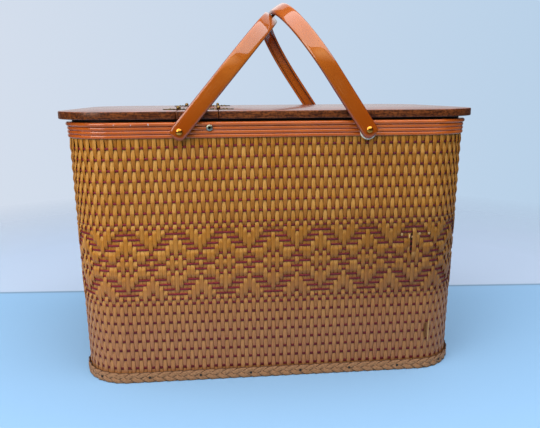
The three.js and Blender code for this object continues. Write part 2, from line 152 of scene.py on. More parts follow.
def tinted(finish, colour, tint):
    """A colour multiplied by another."""
    return mixed(finish, 1.0, colour, tint, "MULTIPLY")


def shader_inputs(finish):
    """What a material's shader takes."""
    return finish.node_tree.nodes["Principled BSDF"].inputs


def new_finish(name, metallic=0.0, specular=0.3, coat=0.0, coat_roughness=0.03):
    """A material with the plain values of its shader."""
    finish = bpy.data.materials.new(name)
    finish.use_nodes = True
    for label, value in (
            ("Metallic", metallic), ("Specular IOR Level", specular),
            ("Coat Weight", coat), ("Coat Roughness", coat_roughness)):
        shader_inputs(finish)[label].default_value = value
    return finish


def finished(finish, colour, relief, dent, rough, span=(0.0, 1.0), polish=None):
    """Wires up a material: colour, a bump of some strength and depth from a relief, and a roughness
    that follows a span of the relief or of another value."""
    bump = add_node(finish, "ShaderNodeBump", strength=dent[0], distance=dent[1], height=relief)
    link = finish.node_tree.links.new
    link(colour, shader_inputs(finish)["Base Color"])
    link(remapped(finish, polish or relief, *span, *rough), shader_inputs(finish)["Roughness"])
    link(bump.outputs[0], shader_inputs(finish)["Normal"])
    return finish


def bare_board_finish():
    """Pale sawn softwood with long streaks and broad darker bands."""
    finish = new_finish("bare_board")
    streak = grain_noise(finish, stretch=(9.0, 260.0, 260.0), detail=6.0)
    band = grain_noise(finish, stretch=(2.0, 28.0, 28.0), detail=2.0)
    colour = ramp(finish, streak, places=(0.30, 0.62), colours=BOARD_WOOD)
    colour = tinted(finish, colour, ramp(finish, band, places=(0.35, 0.65), colours=(BOARD_BAND, WHITE)))
    return finished(finish, colour, streak, dent=(0.35, 0.0004), rough=(0.55, 0.75), span=(0.2, 0.8))


def dress(node, finish):
    """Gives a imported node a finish."""
    for slot in frame["nodes"][node].material_slots:
        slot.material = finish


dress("floor_board", bare_board_finish())

# Splints: flat strips of split wood, varnished golden, that stand side by side round the wall.
# Each bends in and out past the weavers; a draft says where a weaver lies outside the splints.
# The size of a strand is its width, its thickness and its lift at a weaver.
WALL_LOW = 0.0012
WALL_HIGH = 0.3155
RIM_PRESS = 0.3020
RIM_HALF_X, RIM_HALF_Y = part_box("woven_body")[1][:2]
RIM_CORNER = 0.060
WALL_TAPER = 0.0052
COLUMNS = 312
FRONT_COLUMNS = 96
SIDE_COLUMNS = 60
COLUMN_SHIFT = -0.5
RING_STEPS = 416
RING_START = 0.5
RING_LENGTH = 1.5
JOIN_REACH = 1e-6
STRIP_POINTS = 10
STRIP_SQUARENESS = 0.7
SPLINT_SIZE = (0.0050, 0.0012, 0.00115)
SPLINT_BEND = 0.0010
WEAVE_DEPTH = -0.0008
BEND_LIFT = 0.9
LOW_LIFT = 0.55
LEANING = 0.15
BAND_MIDDLE = 0.1505
BAND_PITCH = 0.00636
BAND_MARGIN = 0.0063
UPPER_PITCH = 0.01285
LOWER_PITCH = 0.0120
BAND_ROWS = 7
UPPER_ROWS = 8
LOWER_ROWS = 8
ROW_DRAW = 0.028
weaver_rows = range(-BAND_ROWS - LOWER_ROWS, BAND_ROWS + UPPER_ROWS + 1)
flat_x = RIM_HALF_X - RIM_CORNER
flat_y = RIM_HALF_Y - RIM_CORNER
corner_arc = RIM_CORNER * math.pi / 2
quarter = flat_x + corner_arc + flat_y

# The draft runs from the band's middle row outward, and across from a diamond's centre line
# to halfway to the next. A cross is a weaver outside the splint.
DIAMOND_DRAFT = (
    "...xxx.",
    "x.x..xx",
    ".x....x",
    "...xxx.",
    "..xxx..",
    ".xxx...",
    "xxx...x",
)
REPEAT = 12

# Share of a splint's width below a weaver that crosses it, over one that it crosses, and above;
# then where it floats over several weavers and where it is sunk under several.
UPPER_GIRTHS = (0.92, 1.06, 0.82)
BAND_GIRTHS = (1.0, 1.0, 0.92)
LOWER_GIRTHS = (0.92, 1.04, 0.82)
FLOATING = 1.05
SUNK = 1.16

# Tones run from 0 to 1 in the colours below: each splint has its own and each length of it strays a
# little. A length that faces up is painted paler, most of all at its upper end, and one that faces down
# darker, most of all at its lower end: painted light and shade from above.
TONE_LOW = 0.30
TONE_STRAY = 0.18
PAINTED_LIGHT_STEP = 0.16
PAINTED_LIGHT_RISE = 0.40
GOLDEN = ((0.32, 0.104, 0.006), (0.43, 0.163, 0.013), (0.60, 0.305, 0.076))
DULL = ((0.33, 0.127, 0.056), (0.37, 0.155, 0.056), (0.44, 0.212, 0.066))
DULL_HEIGHTS = (0.06, 0.17)
GRAIN_DARK = (0.74, 0.68, 0.60)
# Painted shade that deepens toward the right end, most in the diamond band, half as much low down and least
# near the rim.
RIGHT_SHADE = (0.60, 0.60, 0.63)
RIGHT_SHADE_ENDS = (-0.17, 0.17)
RIGHT_SHADE_HIGH = 0.3
RIGHT_SHADE_PLACES = (0.0, 0.30, 0.38, 0.64, 0.74)
RIGHT_SHADE_LEVELS = (0.5, 0.5, 1.0, 1.0, 0.28)
# Painted shade along the edges of each splint, where the splints meet, fainter low down.
SEAM_EDGE_SHADE = ((0.93, 0.90, 0.88), (0.80, 0.73, 0.66))
SEAM_EDGE = (0.70, 0.95)
SEAM_SHADE_HEIGHTS = (0.07, 0.14)
SEAM_DEPTH = 0.0006
SEAM_SKIN = 0.0002
# A dark sheet behind the splints: painted shade in the seams, browner on its inner face.
SEAM_SHADE_SHEET = ((0.008, 0.004, 0.002), (0.030, 0.014, 0.006))
INNER_SHEET_SHADE = ((0.10, 0.045, 0.014), (0.20, 0.10, 0.036))

# Near the right end one splint has split and shrunk aside, and the next has slipped out over the
# weavers: column, foot, head, step aside in columns, share of its width and lift.
SLIPPED = (
    (35, 0.154, 0.178, -0.26, 0.68, 0.5),
    (36, 0.154, 0.1855, 0.10, 1.04, 1.3),
)
# Raw broken ends, one long sliver and the stain beside it: column, foot, head, width, lift and shade.
RAW_ENDS = (
    (34.8, 0.1745, 0.1790, 0.36, 1.35, 1.0),
    (35.5, 0.1745, 0.1775, 0.32, 1.35, 0.9),
    (36.1, 0.1540, 0.1585, 0.60, 1.55, 0.8),
    (32.8, 0.1775, 0.1810, 0.55, 1.25, 0.7),
    (37.4, 0.1780, 0.1812, 0.60, 1.25, 0.7),
    (40.0, 0.1780, 0.1812, 0.55, 1.25, 0.8),
    (41.5, 0.0365, 0.0645, 0.50, 2.00, 0.7),
    (40.6, 0.0390, 0.0620, 0.60, 1.25, 0.0),
)
RAW_TAPER = ((0.0, 0.45), (0.35, 0.9), (0.75, 1.0), (1.0, 0.7))
RAW_CURL = 0.2
RAW_STAIN = (0.13, 0.050, 0.008)
RAW_WOOD = (0.58, 0.36, 0.16)
RAW_DARK = (0.72, 0.64, 0.54)


def weaver_height(row):
    """Height of a weaver, counted up and down from the middle of the diamond band."""
    edge = BAND_ROWS * BAND_PITCH + BAND_MARGIN
    if row > BAND_ROWS:
        return BAND_MIDDLE + edge + (row - BAND_ROWS - 1) * UPPER_PITCH
    if row < -BAND_ROWS:
        return BAND_MIDDLE - edge + (row + BAND_ROWS + 1) * LOWER_PITCH
    return BAND_MIDDLE + row * BAND_PITCH


def row_height(row, turn):
    """Height of a weaver at a place round the wall; the rows draw together toward the left end."""
    left = max(0.0, -wall_point(turn, BAND_MIDDLE, 0.0)[0][0] / RIM_HALF_X)
    return BAND_MIDDLE + (weaver_height(row) - BAND_MIDDLE) * (1.0 - ROW_DRAW * left)


def weaver_outside(column, row):
    """True where the weaver passes outside the splint."""
    across = abs((column + REPEAT // 2) % REPEAT - REPEAT // 2)
    step = abs(row)
    if step < len(DIAMOND_DRAFT):
        return DIAMOND_DRAFT[step][across] == "x"
    return (across + step) % 2 == 0


def wall_point(turn, height, out):
    """A point of the wall and its outward direction; turn runs once round from the front's middle."""
    corner = RIM_CORNER + out - WALL_TAPER * (1.0 - height / WALL_HIGH)
    side, along = divmod((turn % 1.0) * 4 * quarter, quarter)
    if side % 2:
        along = quarter - along
    angle = max(0.0, min(corner_arc, along - flat_x)) / RIM_CORNER
    nx, ny = math.sin(angle), -math.cos(angle)
    x = min(along, flat_x) + corner * nx
    y = max(along - flat_x - corner_arc, 0.0) - flat_y + corner * ny
    if side in (1, 2):
        y, ny = -y, -ny
    if side in (2, 3):
        x, nx = -x, -nx
    return (x, y, height), (nx, ny, 0.0)


def point_mesh(name, places, edges, outward, **levels):
    """Points and edges, with the direction that each point faces and other numbers."""
    mesh = bpy.data.meshes.new(name)
    mesh.from_pydata(places, edges, [])
    facing = mesh.attributes.new("outward", "FLOAT_VECTOR", "POINT")
    facing.data.foreach_set("vector", np.array(outward, np.float32).ravel())
    for label, values in levels.items():
        mesh.attributes.new(label, "FLOAT", "POINT").data.foreach_set("value", np.array(values, np.float32))
    return mesh


def new_tree(name, **inputs):
    """An empty node tree with a geometry input and output and the named inputs."""
    tree = bpy.data.node_groups.new(name, "GeometryNodeTree")
    for label, kind in {"Geometry": "Geometry", **inputs}.items():
        tree.interface.new_socket(name=label, in_out="INPUT", socket_type=f"NodeSocket{kind}")
    tree.interface.new_socket(name="Geometry", in_out="OUTPUT", socket_type="NodeSocketGeometry")
    return tree


def read_points(tree, label, kind="FLOAT"):
    """What a tree's points carry under a name."""
    return add_node(tree, "GeometryNodeInputNamedAttribute", data_type=kind, name=label).outputs["Attribute"]


def end_tree(tree, geometry, finish):
    """Ends a tree with smooth shading, real geometry and a finish."""
    smooth = add_node(tree, "GeometryNodeSetShadeSmooth", geometry)
    real = add_node(tree, "GeometryNodeRealizeInstances", smooth.outputs[0])
    dressed = add_node(tree, "GeometryNodeSetMaterial", geometry=real.outputs[0], material=finish)
    add_node(tree, "NodeGroupOutput", dressed.outputs[0])
    return tree


def flat_strand_tree():
    """Sweeps a flat strip with eased edges along each polyline, its face turned outward."""
    tree = new_tree("Flat strand", Width="Float", Thickness="Float", Lift="Float", Finish="Material")
    given = add_node(tree, "NodeGroupInput").outputs
    outward = read_points(tree, "outward", "FLOAT_VECTOR")
    rise = maths(tree, "MULTIPLY", read_points(tree, "lift"), given["Lift"])
    offset = add_node(tree, "ShaderNodeVectorMath", outward, operation="SCALE", scale=rise).outputs[0]
    lifted = add_node(tree, "GeometryNodeSetPosition", geometry=given["Geometry"], offset=offset)
    line = add_node(tree, "GeometryNodeMeshToCurve", lifted.outputs[0]).outputs[0]
    line = add_node(tree, "GeometryNodeSetCurveNormal", mode="FREE", curve=line, normal=outward)
    spot = add_node(tree, "GeometryNodeInputPosition").outputs[0]
    spot = add_node(tree, "ShaderNodeSeparateXYZ", spot).outputs
    reach = maths(tree, "ABSOLUTE", spot["Y"])
    across = maths(tree, "POWER", reach, STRIP_SQUARENESS)
    across = maths(tree, "MULTIPLY", across, maths(tree, "SIGN", spot["Y"]))
    half_thickness = maths(tree, "MULTIPLY", given["Thickness"], 0.5)
    half_width = maths(tree, "MULTIPLY", given["Width"], 0.5)
    flat = add_node(tree, "ShaderNodeCombineXYZ", maths(tree, "MULTIPLY", spot["X"], half_thickness),
                    maths(tree, "MULTIPLY", across, half_width)).outputs[0]
    section = add_node(tree, "GeometryNodeCurvePrimitiveCircle", resolution=STRIP_POINTS, radius=1.0)
    section = add_node(tree, "GeometryNodeStoreNamedAttribute", data_type="FLOAT", domain="POINT",
                       geometry=section.outputs[0], name="edge", value=reach)
    section = add_node(tree, "GeometryNodeSetPosition", geometry=section.outputs[0], position=flat)
    strip = add_node(tree, "GeometryNodeCurveToMesh", curve=line.outputs[0], fill_caps=True,
                     profile_curve=section.outputs[0], scale=read_points(tree, "girth"))
    return end_tree(tree, strip.outputs[0], given["Finish"])


def plain_result(holder):
    """Turns what an object's modifiers make into a plain mesh, and removes the modifiers."""
    bpy.context.view_layer.update()
    graph = bpy.context.evaluated_depsgraph_get()
    made = bpy.data.meshes.new_from_object(holder.evaluated_get(graph), depsgraph=graph)
    holder.modifiers.clear()
    holder.data = made
    return holder


def linked_object(name, mesh):
    """An object in the scene for a mesh."""
    piece = bpy.data.objects.new(name, mesh)
    bpy.context.collection.objects.link(piece)
    return piece


def tree_piece(name, mesh, tree, values):
    """A plain piece made by a node tree from a mesh of points or polylines."""
    holder = linked_object(name, mesh)
    modifier = holder.modifiers.new(tree.name, "NODES")
    modifier.node_group = tree
    for socket in tree.interface.items_tree:
        if socket.in_out == "INPUT" and socket.name in values:
            modifier[socket.identifier] = values[socket.name]
    return plain_result(holder)


def strand_piece(name, strands, size, finish, closed=False):
    """Flat strips along polylines. A point is a place, outward direction, lift, girth and shade."""
    edges = []
    first = 0
    for strand in strands:
        last = first + len(strand) - 1
        edges += [(i, i + 1) for i in range(first, last)]
        if closed:
            edges.append((last, first))
        first = last + 1
    places, outward, lifts, girths, shades = zip(*(point for strand in strands for point in strand))
    mesh = point_mesh(name, places, edges, outward, lift=lifts, girth=girths, shade=shades)
    return tree_piece(name, mesh, strand_tree, dict(zip(("Width", "Thickness", "Lift"), size), Finish=finish))


def fixed(piece, body, slot, *replaced):
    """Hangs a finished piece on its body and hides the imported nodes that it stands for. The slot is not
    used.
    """
    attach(piece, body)
    if replaced:
        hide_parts(*replaced)


def skin(shape, rings):
    """Faces that join each ring of points to the next."""
    for first, second in zip(rings[:-1], rings[1:]):
        for i in range(len(first)):
            k = (i + 1) % len(first)
            shape.faces.new((first[i], first[k], second[k], second[i]))


def smooth_shaded(piece, sharp_degrees):
    """Smooth shading that keeps edges sharper than an angle."""
    piece.data.shade_smooth()
    piece.data.set_sharp_from_angle(angle=math.radians(sharp_degrees))
    return piece


def shaped_piece(name, shape, *finishes, sharp_degrees):
    """A piece of a shape, its points joined and faces turned outward, smooth between sharp edges."""
    bmesh.ops.remove_doubles(shape, verts=shape.verts, dist=JOIN_REACH)
    bmesh.ops.recalc_face_normals(shape, faces=shape.faces)
    mesh = bpy.data.meshes.new(name)
    shape.to_mesh(mesh)
    shape.free()
    for finish in finishes:
        mesh.materials.append(finish)
    return smooth_shaded(linked_object(name, mesh), sharp_degrees)


def ring_piece(name, section, finish, sharp_degrees):
    """A closed section of (outward, height) points carried round the wall."""
    shape = bmesh.new()
    strip = shape.verts.layers.float_vector.new("strip")
    rings = []
    for i in range(RING_STEPS):
        ring = []
        for out, height in section:
            ring.append(shape.verts.new(wall_point(RING_START + i / RING_STEPS, height, out)[0]))
            ring[-1][strip] = (i / RING_STEPS * RING_LENGTH, height, out)
        rings.append(ring)
    skin(shape, rings + rings[:1])
    return shaped_piece(name, shape, finish, sharp_degrees=sharp_degrees)


def level_of(finish, attribute):
    """An attribute that holds one number."""
    return add_node(finish, "ShaderNodeAttribute", attribute_name=attribute).outputs["Fac"]


def splint_finish():
    """Golden varnished wood, streaked along the grain, duller and browner toward the foot, with painted shade
    toward the right end and along each splint's edges.
    """
    finish = new_finish("varnished_splint")
    shade = level_of(finish, "shade")
    height = part_of(finish, "Z")
    grain = grain_noise(finish, stretch=(900.0, 900.0, 26.0), detail=5.0)
    golden = ramp(finish, shade, places=(0.0, 0.5, 1.0), colours=GOLDEN)
    dull = ramp(finish, shade, places=(0.0, 0.5, 1.0), colours=DULL)
    colour = mixed(finish, remapped(finish, height, *DULL_HEIGHTS), dull, golden)
    colour = tinted(finish, colour, ramp(finish, grain, places=(0.30, 0.60), colours=(GRAIN_DARK, WHITE)))
    # Painted shade toward the right end.
    levels = [(tone, tone, tone) for tone in RIGHT_SHADE_LEVELS]
    share = ramp(finish, remapped(finish, height, 0.0, RIGHT_SHADE_HIGH), RIGHT_SHADE_PLACES, levels)
    shaded_right = maths(finish, "MULTIPLY", remapped(finish, part_of(finish, "X"), *RIGHT_SHADE_ENDS), share)
    colour = mixed(finish, shaded_right, colour, tinted(finish, colour, RIGHT_SHADE))
    # Painted shade along the splints' edges.
    painted_shade = mixed(finish, remapped(finish, height, *SEAM_SHADE_HEIGHTS), *SEAM_EDGE_SHADE)
    edge = remapped(finish, level_of(finish, "edge"), *SEAM_EDGE)
    colour = mixed(finish, edge, colour, tinted(finish, colour, painted_shade))
    return finished(finish, colour, grain, dent=(0.25, 0.0002), rough=(0.30, 0.50))


def scatter(*keys):
    """A repeatable number from 0 to 1 for a set of whole numbers."""
    total = sum((i + 1) * 12.9898 * k + 78.233 * i for i, k in enumerate(keys))
    return (math.sin(total) * 43758.5453) % 1.0


def length_girths(height, facing_up, sunk):
    """A splint's share of its width at the lower and upper end of one length."""
    below, over, above = BAND_GIRTHS
    if height > weaver_height(BAND_ROWS):
        below, over, above = UPPER_GIRTHS
    elif height < weaver_height(-BAND_ROWS):
        below, over, above = LOWER_GIRTHS
    if facing_up > LEANING:
        return over, below
    if facing_up < -LEANING:
        return above, over
    return (SUNK, SUNK) if sunk else (FLOATING, FLOATING)


def splint_line(column):
    """One splint from foot to rim, bent sharply at each weaver."""
    turn = (column + COLUMN_SHIFT) / COLUMNS
    bends = []
    for row in weaver_rows:
        lift = BEND_LIFT * (LOW_LIFT if row < -BAND_ROWS else 1.0)
        bends.append((row_height(row, turn), -lift if weaver_outside(column, row) else lift))
    bends = [(WALL_LOW, 0.0), *bends, (RIM_PRESS, 0.0), (WALL_HIGH, 0.0)]
    line = []
    floats = 0
    for (low, lift_low), (high, lift_high) in zip(bends[:-1], bends[1:]):
        floats += lift_low < 0
        facing_up = (lift_low - lift_high) / 2
        stray = scatter(column) + scatter(column, floats)
        # Painted light and shade: a length that faces up is paler, one that faces down is darker.
        tone = TONE_LOW + TONE_STRAY * stray + PAINTED_LIGHT_STEP * facing_up
        girths = length_girths((low + high) / 2, facing_up, lift_low < 0)
        ends = (
            (low + SPLINT_BEND, lift_low, girths[0], tone + PAINTED_LIGHT_RISE * min(facing_up, 0.0)),
            (high - SPLINT_BEND, lift_high, girths[1], tone + PAINTED_LIGHT_RISE * max(facing_up, 0.0)),
        )
        for height, lift, girth, shade in ends:
            aside = 0.0
            for worn, foot, head, step, share, out in SLIPPED:
                if column == worn and foot < height < head:
                    aside, girth, lift = step, share, out
            place, normal = wall_point(turn + aside / COLUMNS, height, WEAVE_DEPTH)
            line.append((place, normal, lift, girth, shade))
    return line


def seam_sheet_finish():
    """A dark sheet behind the splints, painted shade that shows in the seams between them, browner on its
    inner face.
    """
    finish = new_finish("painted_seam_shade")
    cloud = grain_noise(finish, stretch=(300.0, 300.0, 60.0), detail=3.0)
    inner = ramp(finish, cloud, places=(0.3, 0.7), colours=INNER_SHEET_SHADE)
    outer = ramp(finish, cloud, places=(0.3, 0.7), colours=SEAM_SHADE_SHEET)
    colour = mixed(finish, remapped(finish, part_of(finish, "Z", "strip"), seam_in, seam_out), inner, outer)
    return finished(finish, colour, cloud, dent=(0.3, 0.0002), rough=(0.4, 0.6))


def raw_finish():
    """Bare split wood, pale where it is freshly broken and brown where it is stained."""
    finish = new_finish("raw_splint")
    grain = grain_noise(finish, stretch=(1200.0, 1200.0, 60.0), detail=4.0)
    colour = ramp(finish, level_of(finish, "shade"), places=(0.0, 1.0), colours=(RAW_STAIN, RAW_WOOD))
    colour = tinted(finish, colour, ramp(finish, grain, places=(0.35, 0.60), colours=(RAW_DARK, WHITE)))
    return finished(finish, colour, grain, dent=(0.4, 0.0002), rough=(0.6, 0.8))


def raw_end(column, foot, head, width, lift, shade):
    """One raw end or sliver as a short strand that tapers to both ends."""
    line = []
    for step, share in RAW_TAPER:
        height = foot + (head - foot) * step
        place, normal = wall_point((column + COLUMN_SHIFT) / COLUMNS, height, WEAVE_DEPTH)
        line.append((place, normal, lift * (1.0 - RAW_CURL * (1.0 - step)), width * share, shade))
    return line


strand_tree = flat_strand_tree()
splint_wood = splint_finish()
first_column = -FRONT_COLUMNS // 2
for wall, count in (
        ("front", FRONT_COLUMNS), ("right", SIDE_COLUMNS), ("back", FRONT_COLUMNS), ("left", SIDE_COLUMNS)):
    lines = [splint_line(column) for column in range(first_column, first_column + count)]
    splints = strand_piece(f"{wall}_splints", lines, SPLINT_SIZE, splint_wood)
    fixed(splints, "basket", "weave", "woven_body")
    first_column += count
# A dark sheet just behind the splints, painted shade that shows through the seams between them.
seam_out = WEAVE_DEPTH - SEAM_DEPTH
seam_in = seam_out - SEAM_SKIN
seam_section = ((seam_out, WALL_LOW), (seam_out, WALL_HIGH), (seam_in, WALL_HIGH), (seam_in, WALL_LOW))
fixed(ring_piece("painted_seam_shade", seam_section, seam_sheet_finish(), sharp_degrees=60), "basket", "weave")
raw_ends = [raw_end(*end) for end in RAW_ENDS]
fixed(strand_piece("frayed_ends", raw_ends, SPLINT_SIZE, raw_finish()), "basket", "weave")

# Weavers: thin strips dyed dark red, run round the basket in rows between the splints.
# They pass outside the splints by the same draft, close together in the diamond band.
WEAVER_SIZES = {
    "lower": (0.0034, 0.0010, 0.00040), "band": (0.0024, 0.0010, 0.00040), "upper": (0.0028, 0.0010, 0.00040)}
RED_DYE = ((0.11, 0.003, 0.007), (0.23, 0.011, 0.018))
# Painted shade on the weavers toward the right end.
RED_RIGHT_SHADE = (0.50, 0.62, 0.70)
RED_RIGHT_SHADE_ENDS = (-0.1, 0.2)
RED_LOW = (0.52, 0.44, 0.38)
RED_LOW_HEIGHTS = (0.09, 0.12)


def weaver_finish():
    """Dull dark red dye with paler rubbed fibres, darker low down, with painted shade toward the right end.
    """
    finish = new_finish("red_weaver")
    fibre = grain_noise(finish, stretch=(120.0, 120.0, 1500.0), detail=3.0)
    # Painted shade toward the right end.
    tone = mixed(finish, remapped(finish, part_of(finish, "X"), *RED_RIGHT_SHADE_ENDS), WHITE, RED_RIGHT_SHADE)
    tone = mixed(finish, remapped(finish, part_of(finish, "Z"), *RED_LOW_HEIGHTS), RED_LOW, tone)
    colour = tinted(finish, ramp(finish, fibre, places=(0.3, 0.7), colours=RED_DYE), tone)
    return finished(finish, colour, fibre, dent=(0.2, 0.0001), rough=(0.45, 0.65))


def weaver_line(row):
    """One weaver round the wall, in front of some splints and behind the others."""
    line = []
    for column in range(COLUMNS):
        here = 1.0 if weaver_outside(column, row) else -1.0
        after = 1.0 if weaver_outside(column + 1, row) else -1.0
        for step, lift in ((0.0, here), (0.5, (here + after) / 2)):
            turn = (column + COLUMN_SHIFT + step) / COLUMNS
            place, normal = wall_point(turn, row_height(row, turn), WEAVE_DEPTH)
            line.append((place, normal, lift, 1.0, 0.0))
    return line


red_dye = weaver_finish()
for field, rows in (
        ("lower", [row for row in weaver_rows if row < -BAND_ROWS]),
        ("band", [row for row in weaver_rows if abs(row) <= BAND_ROWS]),
        ("upper", [row for row in weaver_rows if row > BAND_ROWS])):
    lines = [weaver_line(row) for row in rows]
    weavers = strand_piece(f"{field}_weavers", lines, WEAVER_SIZES[field], red_dye, closed=True)
    fixed(weavers, "basket", "weave")

# Foot braid: a flat plait of three strands of dull grass, laid round the foot to cover the nailed
# ends of the splints, and fixed through its middle by nails of rusty black iron.
BRAID_STRANDS = 3
BRAID_STITCHES = 38
BRAID_STEPS = BRAID_STITCHES * 16
BRAID_SIZE = (0.0070, 0.0014, 0.0006)
BRAID_SWING = 0.0036
BRAID_SLANT = 0.96
BRAID_HOLD = 1.45
BRAID_OUT = 0.0024
GRASS = ((0.16, 0.074, 0.030), (0.33, 0.157, 0.070), (0.42, 0.215, 0.100))
# Painted shade in the slits along each strand's edges.
SLIT_SHADE = (0.16, 0.12, 0.10)
SLIT_EDGE = (0.56, 0.86)
NAIL_COUNT = 24
NAIL_RADIUS = 0.0017
NAIL_RISE = 0.0006
NAIL_OUT = BRAID_OUT + 0.0012
NAIL_IRON = ((0.006, 0.005, 0.004), (0.026, 0.018, 0.013))
braid_low, braid_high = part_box("foot_braid")
braid_middle = (braid_low[2] + braid_high[2]) / 2


def tack_tree():
    """Sets a low dome at every point."""
    tree = new_tree("Tack heads", Radius="Float", Rise="Float", Finish="Material")
    given = add_node(tree, "NodeGroupInput").outputs
    ball = add_node(tree, "GeometryNodeMeshUVSphere", segments=12, rings=8, radius=1.0)
    size = add_node(tree, "ShaderNodeCombineXYZ", given["Radius"], given["Radius"], given["Rise"])
    outward = read_points(tree, "outward", "FLOAT_VECTOR")
    turn = add_node(tree, "FunctionNodeAlignRotationToVector", axis="Z", vector=outward)
    spread = add_node(tree, "GeometryNodeInstanceOnPoints", points=given["Geometry"],
                      instance=ball.outputs[0], rotation=turn.outputs[0], scale=size.outputs[0])
    return end_tree(tree, spread.outputs[0], given["Finish"])


def tack_piece(name, spots, radius, rise, finish):
    """Tack heads at places, each with the direction that it faces."""
    places, facing = zip(*spots)
    return tree_piece(name, point_mesh(name, places, [], facing), tacks, {
        "Radius": radius, "Rise": rise, "Finish": finish})


def plain_finish(name, stretch, detail, places, tones, dent, rough, span=(0.0, 1.0), metallic=0.0):
    """A material whose tones, dents and roughness all follow one noise."""
    finish = new_finish(name, metallic)
    grain = grain_noise(finish, stretch, detail)
    return finished(finish, ramp(finish, grain, places, tones), grain, dent, rough, span)


def braid_finish():
    """Dull grey-brown grass, streaked along each strand, with painted shade in the slits along its edges."""
    finish = new_finish("plaited_grass")
    fibre = grain_noise(finish, stretch=(420.0, 420.0, 900.0), detail=5.0)
    colour = ramp(finish, fibre, places=(0.25, 0.55, 0.8), colours=GRASS)
    # Painted shade in the slits.
    edge = remapped(finish, level_of(finish, "edge"), *SLIT_EDGE)
    colour = mixed(finish, edge, colour, tinted(finish, colour, SLIT_SHADE))
    return finished(finish, colour, fibre, dent=(0.5, 0.0004), rough=(0.6, 0.8))


def braid_line(strand):
    """One of the plait's strands round the foot."""
    line = []
    for i in range(BRAID_STEPS):
        swing = 2 * math.pi * (BRAID_STITCHES * i / BRAID_STEPS + strand / BRAID_STRANDS)
        slant = BRAID_HOLD * math.asin(BRAID_SLANT * math.sin(swing)) / math.asin(BRAID_SLANT)
        height = braid_middle + BRAID_SWING * max(-1.0, min(1.0, slant))
        place, normal = wall_point(i / BRAID_STEPS, height, BRAID_OUT)
        line.append((place, normal, math.sin(2 * swing), 1.0, 0.0))
    return line


lines = [braid_line(strand) for strand in range(BRAID_STRANDS)]
plait = strand_piece("foot_plait", lines, BRAID_SIZE, braid_finish(), closed=True)
fixed(plait, "basket", "braid", "foot_braid")
tacks = tack_tree()
nail_iron = plain_finish(
    "nail_iron", stretch=(700.0, 700.0, 700.0), detail=3.0, places=(0.3, 0.7), tones=NAIL_IRON,
    dent=(0.4, 0.0002), rough=(0.5, 0.7))
nail_spots = [wall_point((i + 0.5) / NAIL_COUNT, braid_middle, NAIL_OUT) for i in range(NAIL_COUNT)]
fixed(tack_piece("braid_nails", nail_spots, NAIL_RADIUS, NAIL_RISE, nail_iron), "basket", "braid")

# Inner hoop: a strip of bent wood inside the rim, its edges eased. The lid rests on it, and the
# handle rivets pass through it.
HOOP_OUT = -0.0043
HOOP_THICKNESS = 0.006
HOOP_EASE = 0.0012
HOOP_WOOD = ((0.31, 0.17, 0.07), (0.50, 0.33, 0.16))
# Painted shade on the hoop's outer side, in the gap under the lid.
HOOP_GAP_SHADE = (0.012, 0.008, 0.005)
HOOP_GAP_SHADE_DEPTHS = (HOOP_OUT - 0.002, HOOP_OUT - 0.001)


def bent_wood_finish():
    """Pale bent wood, streaked round the hoop, with painted shade on its outer side in the gap under the lid.
    """
    finish = new_finish("bent_wood")
    streak = grain_noise(finish, stretch=(12.0, 700.0, 700.0), detail=5.0, attribute="strip")
    colour = ramp(finish, streak, places=(0.3, 0.65), colours=HOOP_WOOD)
    # Painted shade on the outer side.
    outside = remapped(finish, part_of(finish, "Z", "strip"), *HOOP_GAP_SHADE_DEPTHS)
    colour = mixed(finish, outside, colour, HOOP_GAP_SHADE)
    return finished(finish, colour, streak, dent=(0.3, 0.0003), rough=(0.42, 0.6))


def hoop_section():
    """The hoop's section, its inner edges eased."""
    inner = HOOP_OUT - HOOP_THICKNESS
    low, high = (corner[2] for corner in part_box("inner_hoop"))
    ease = HOOP_EASE
    return (
        (HOOP_OUT, low), (HOOP_OUT, high), (inner + ease, high), (inner + ease / 3, high - ease / 3),
        (inner, high - ease), (inner, low + ease), (inner + ease / 3, low + ease / 3), (inner + ease, low),
    )


hoop = ring_piece("bent_hoop", hoop_section(), bent_wood_finish(), sharp_degrees=50)
fixed(hoop, "basket", "hoop_wood", "inner_hoop")

# Rim band: sheet metal rolled with a bold bead and three ribs, enamelled copper-brown and wrapped
# round the rim. It folds in over the cut ends of the splints; the bead is chipped at the left.
BEAD_HEIGHT = 0.0052
BEAD_PROUD = 0.0033
BEAD_STEPS = 15
RIB_PROUD = 0.0019
RIB_COUNT = 3
RIB_STEPS = 9
BAND_SHEET = 0.0010
BAND_SEAT = 0.0003
BAND_VALLEY = 0.0006
BAND_FOLD = -0.0040
BAND_DROP = 0.0006
BAND_ENAMEL = ((0.38, 0.068, 0.006), (0.49, 0.104, 0.012))
BAND_GLOSS = 0.85
# Painted shade in the grooves between the ribs and on the fold over the splint ends.
BAND_GROOVE_SHADE = (0.06, 0.006, 0.003)
GROOVE_SHADE_DEPTHS = (BAND_VALLEY + 0.0001, BAND_VALLEY + 0.0011)
SPECK_SCALE = (420.0, 420.0, 420.0)
SPECK = (0.09, 0.020, 0.008)
SPECK_LEVELS = (0.72, 0.76)
CHIP_METAL = (0.46, 0.45, 0.44)
CHIP_PLACES = (-0.180, -0.162, -0.142)
CHIP_REACH = 0.0035
CHIP_DROP = BEAD_HEIGHT * 0.6
CHIP_FRAY = CHIP_REACH * 2.4
CHIP_EDGE = (CHIP_REACH * 1.35, CHIP_REACH * 1.25)
band_foot, band_top = (corner[2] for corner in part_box("rim_band"))
chip_height = band_top - CHIP_DROP


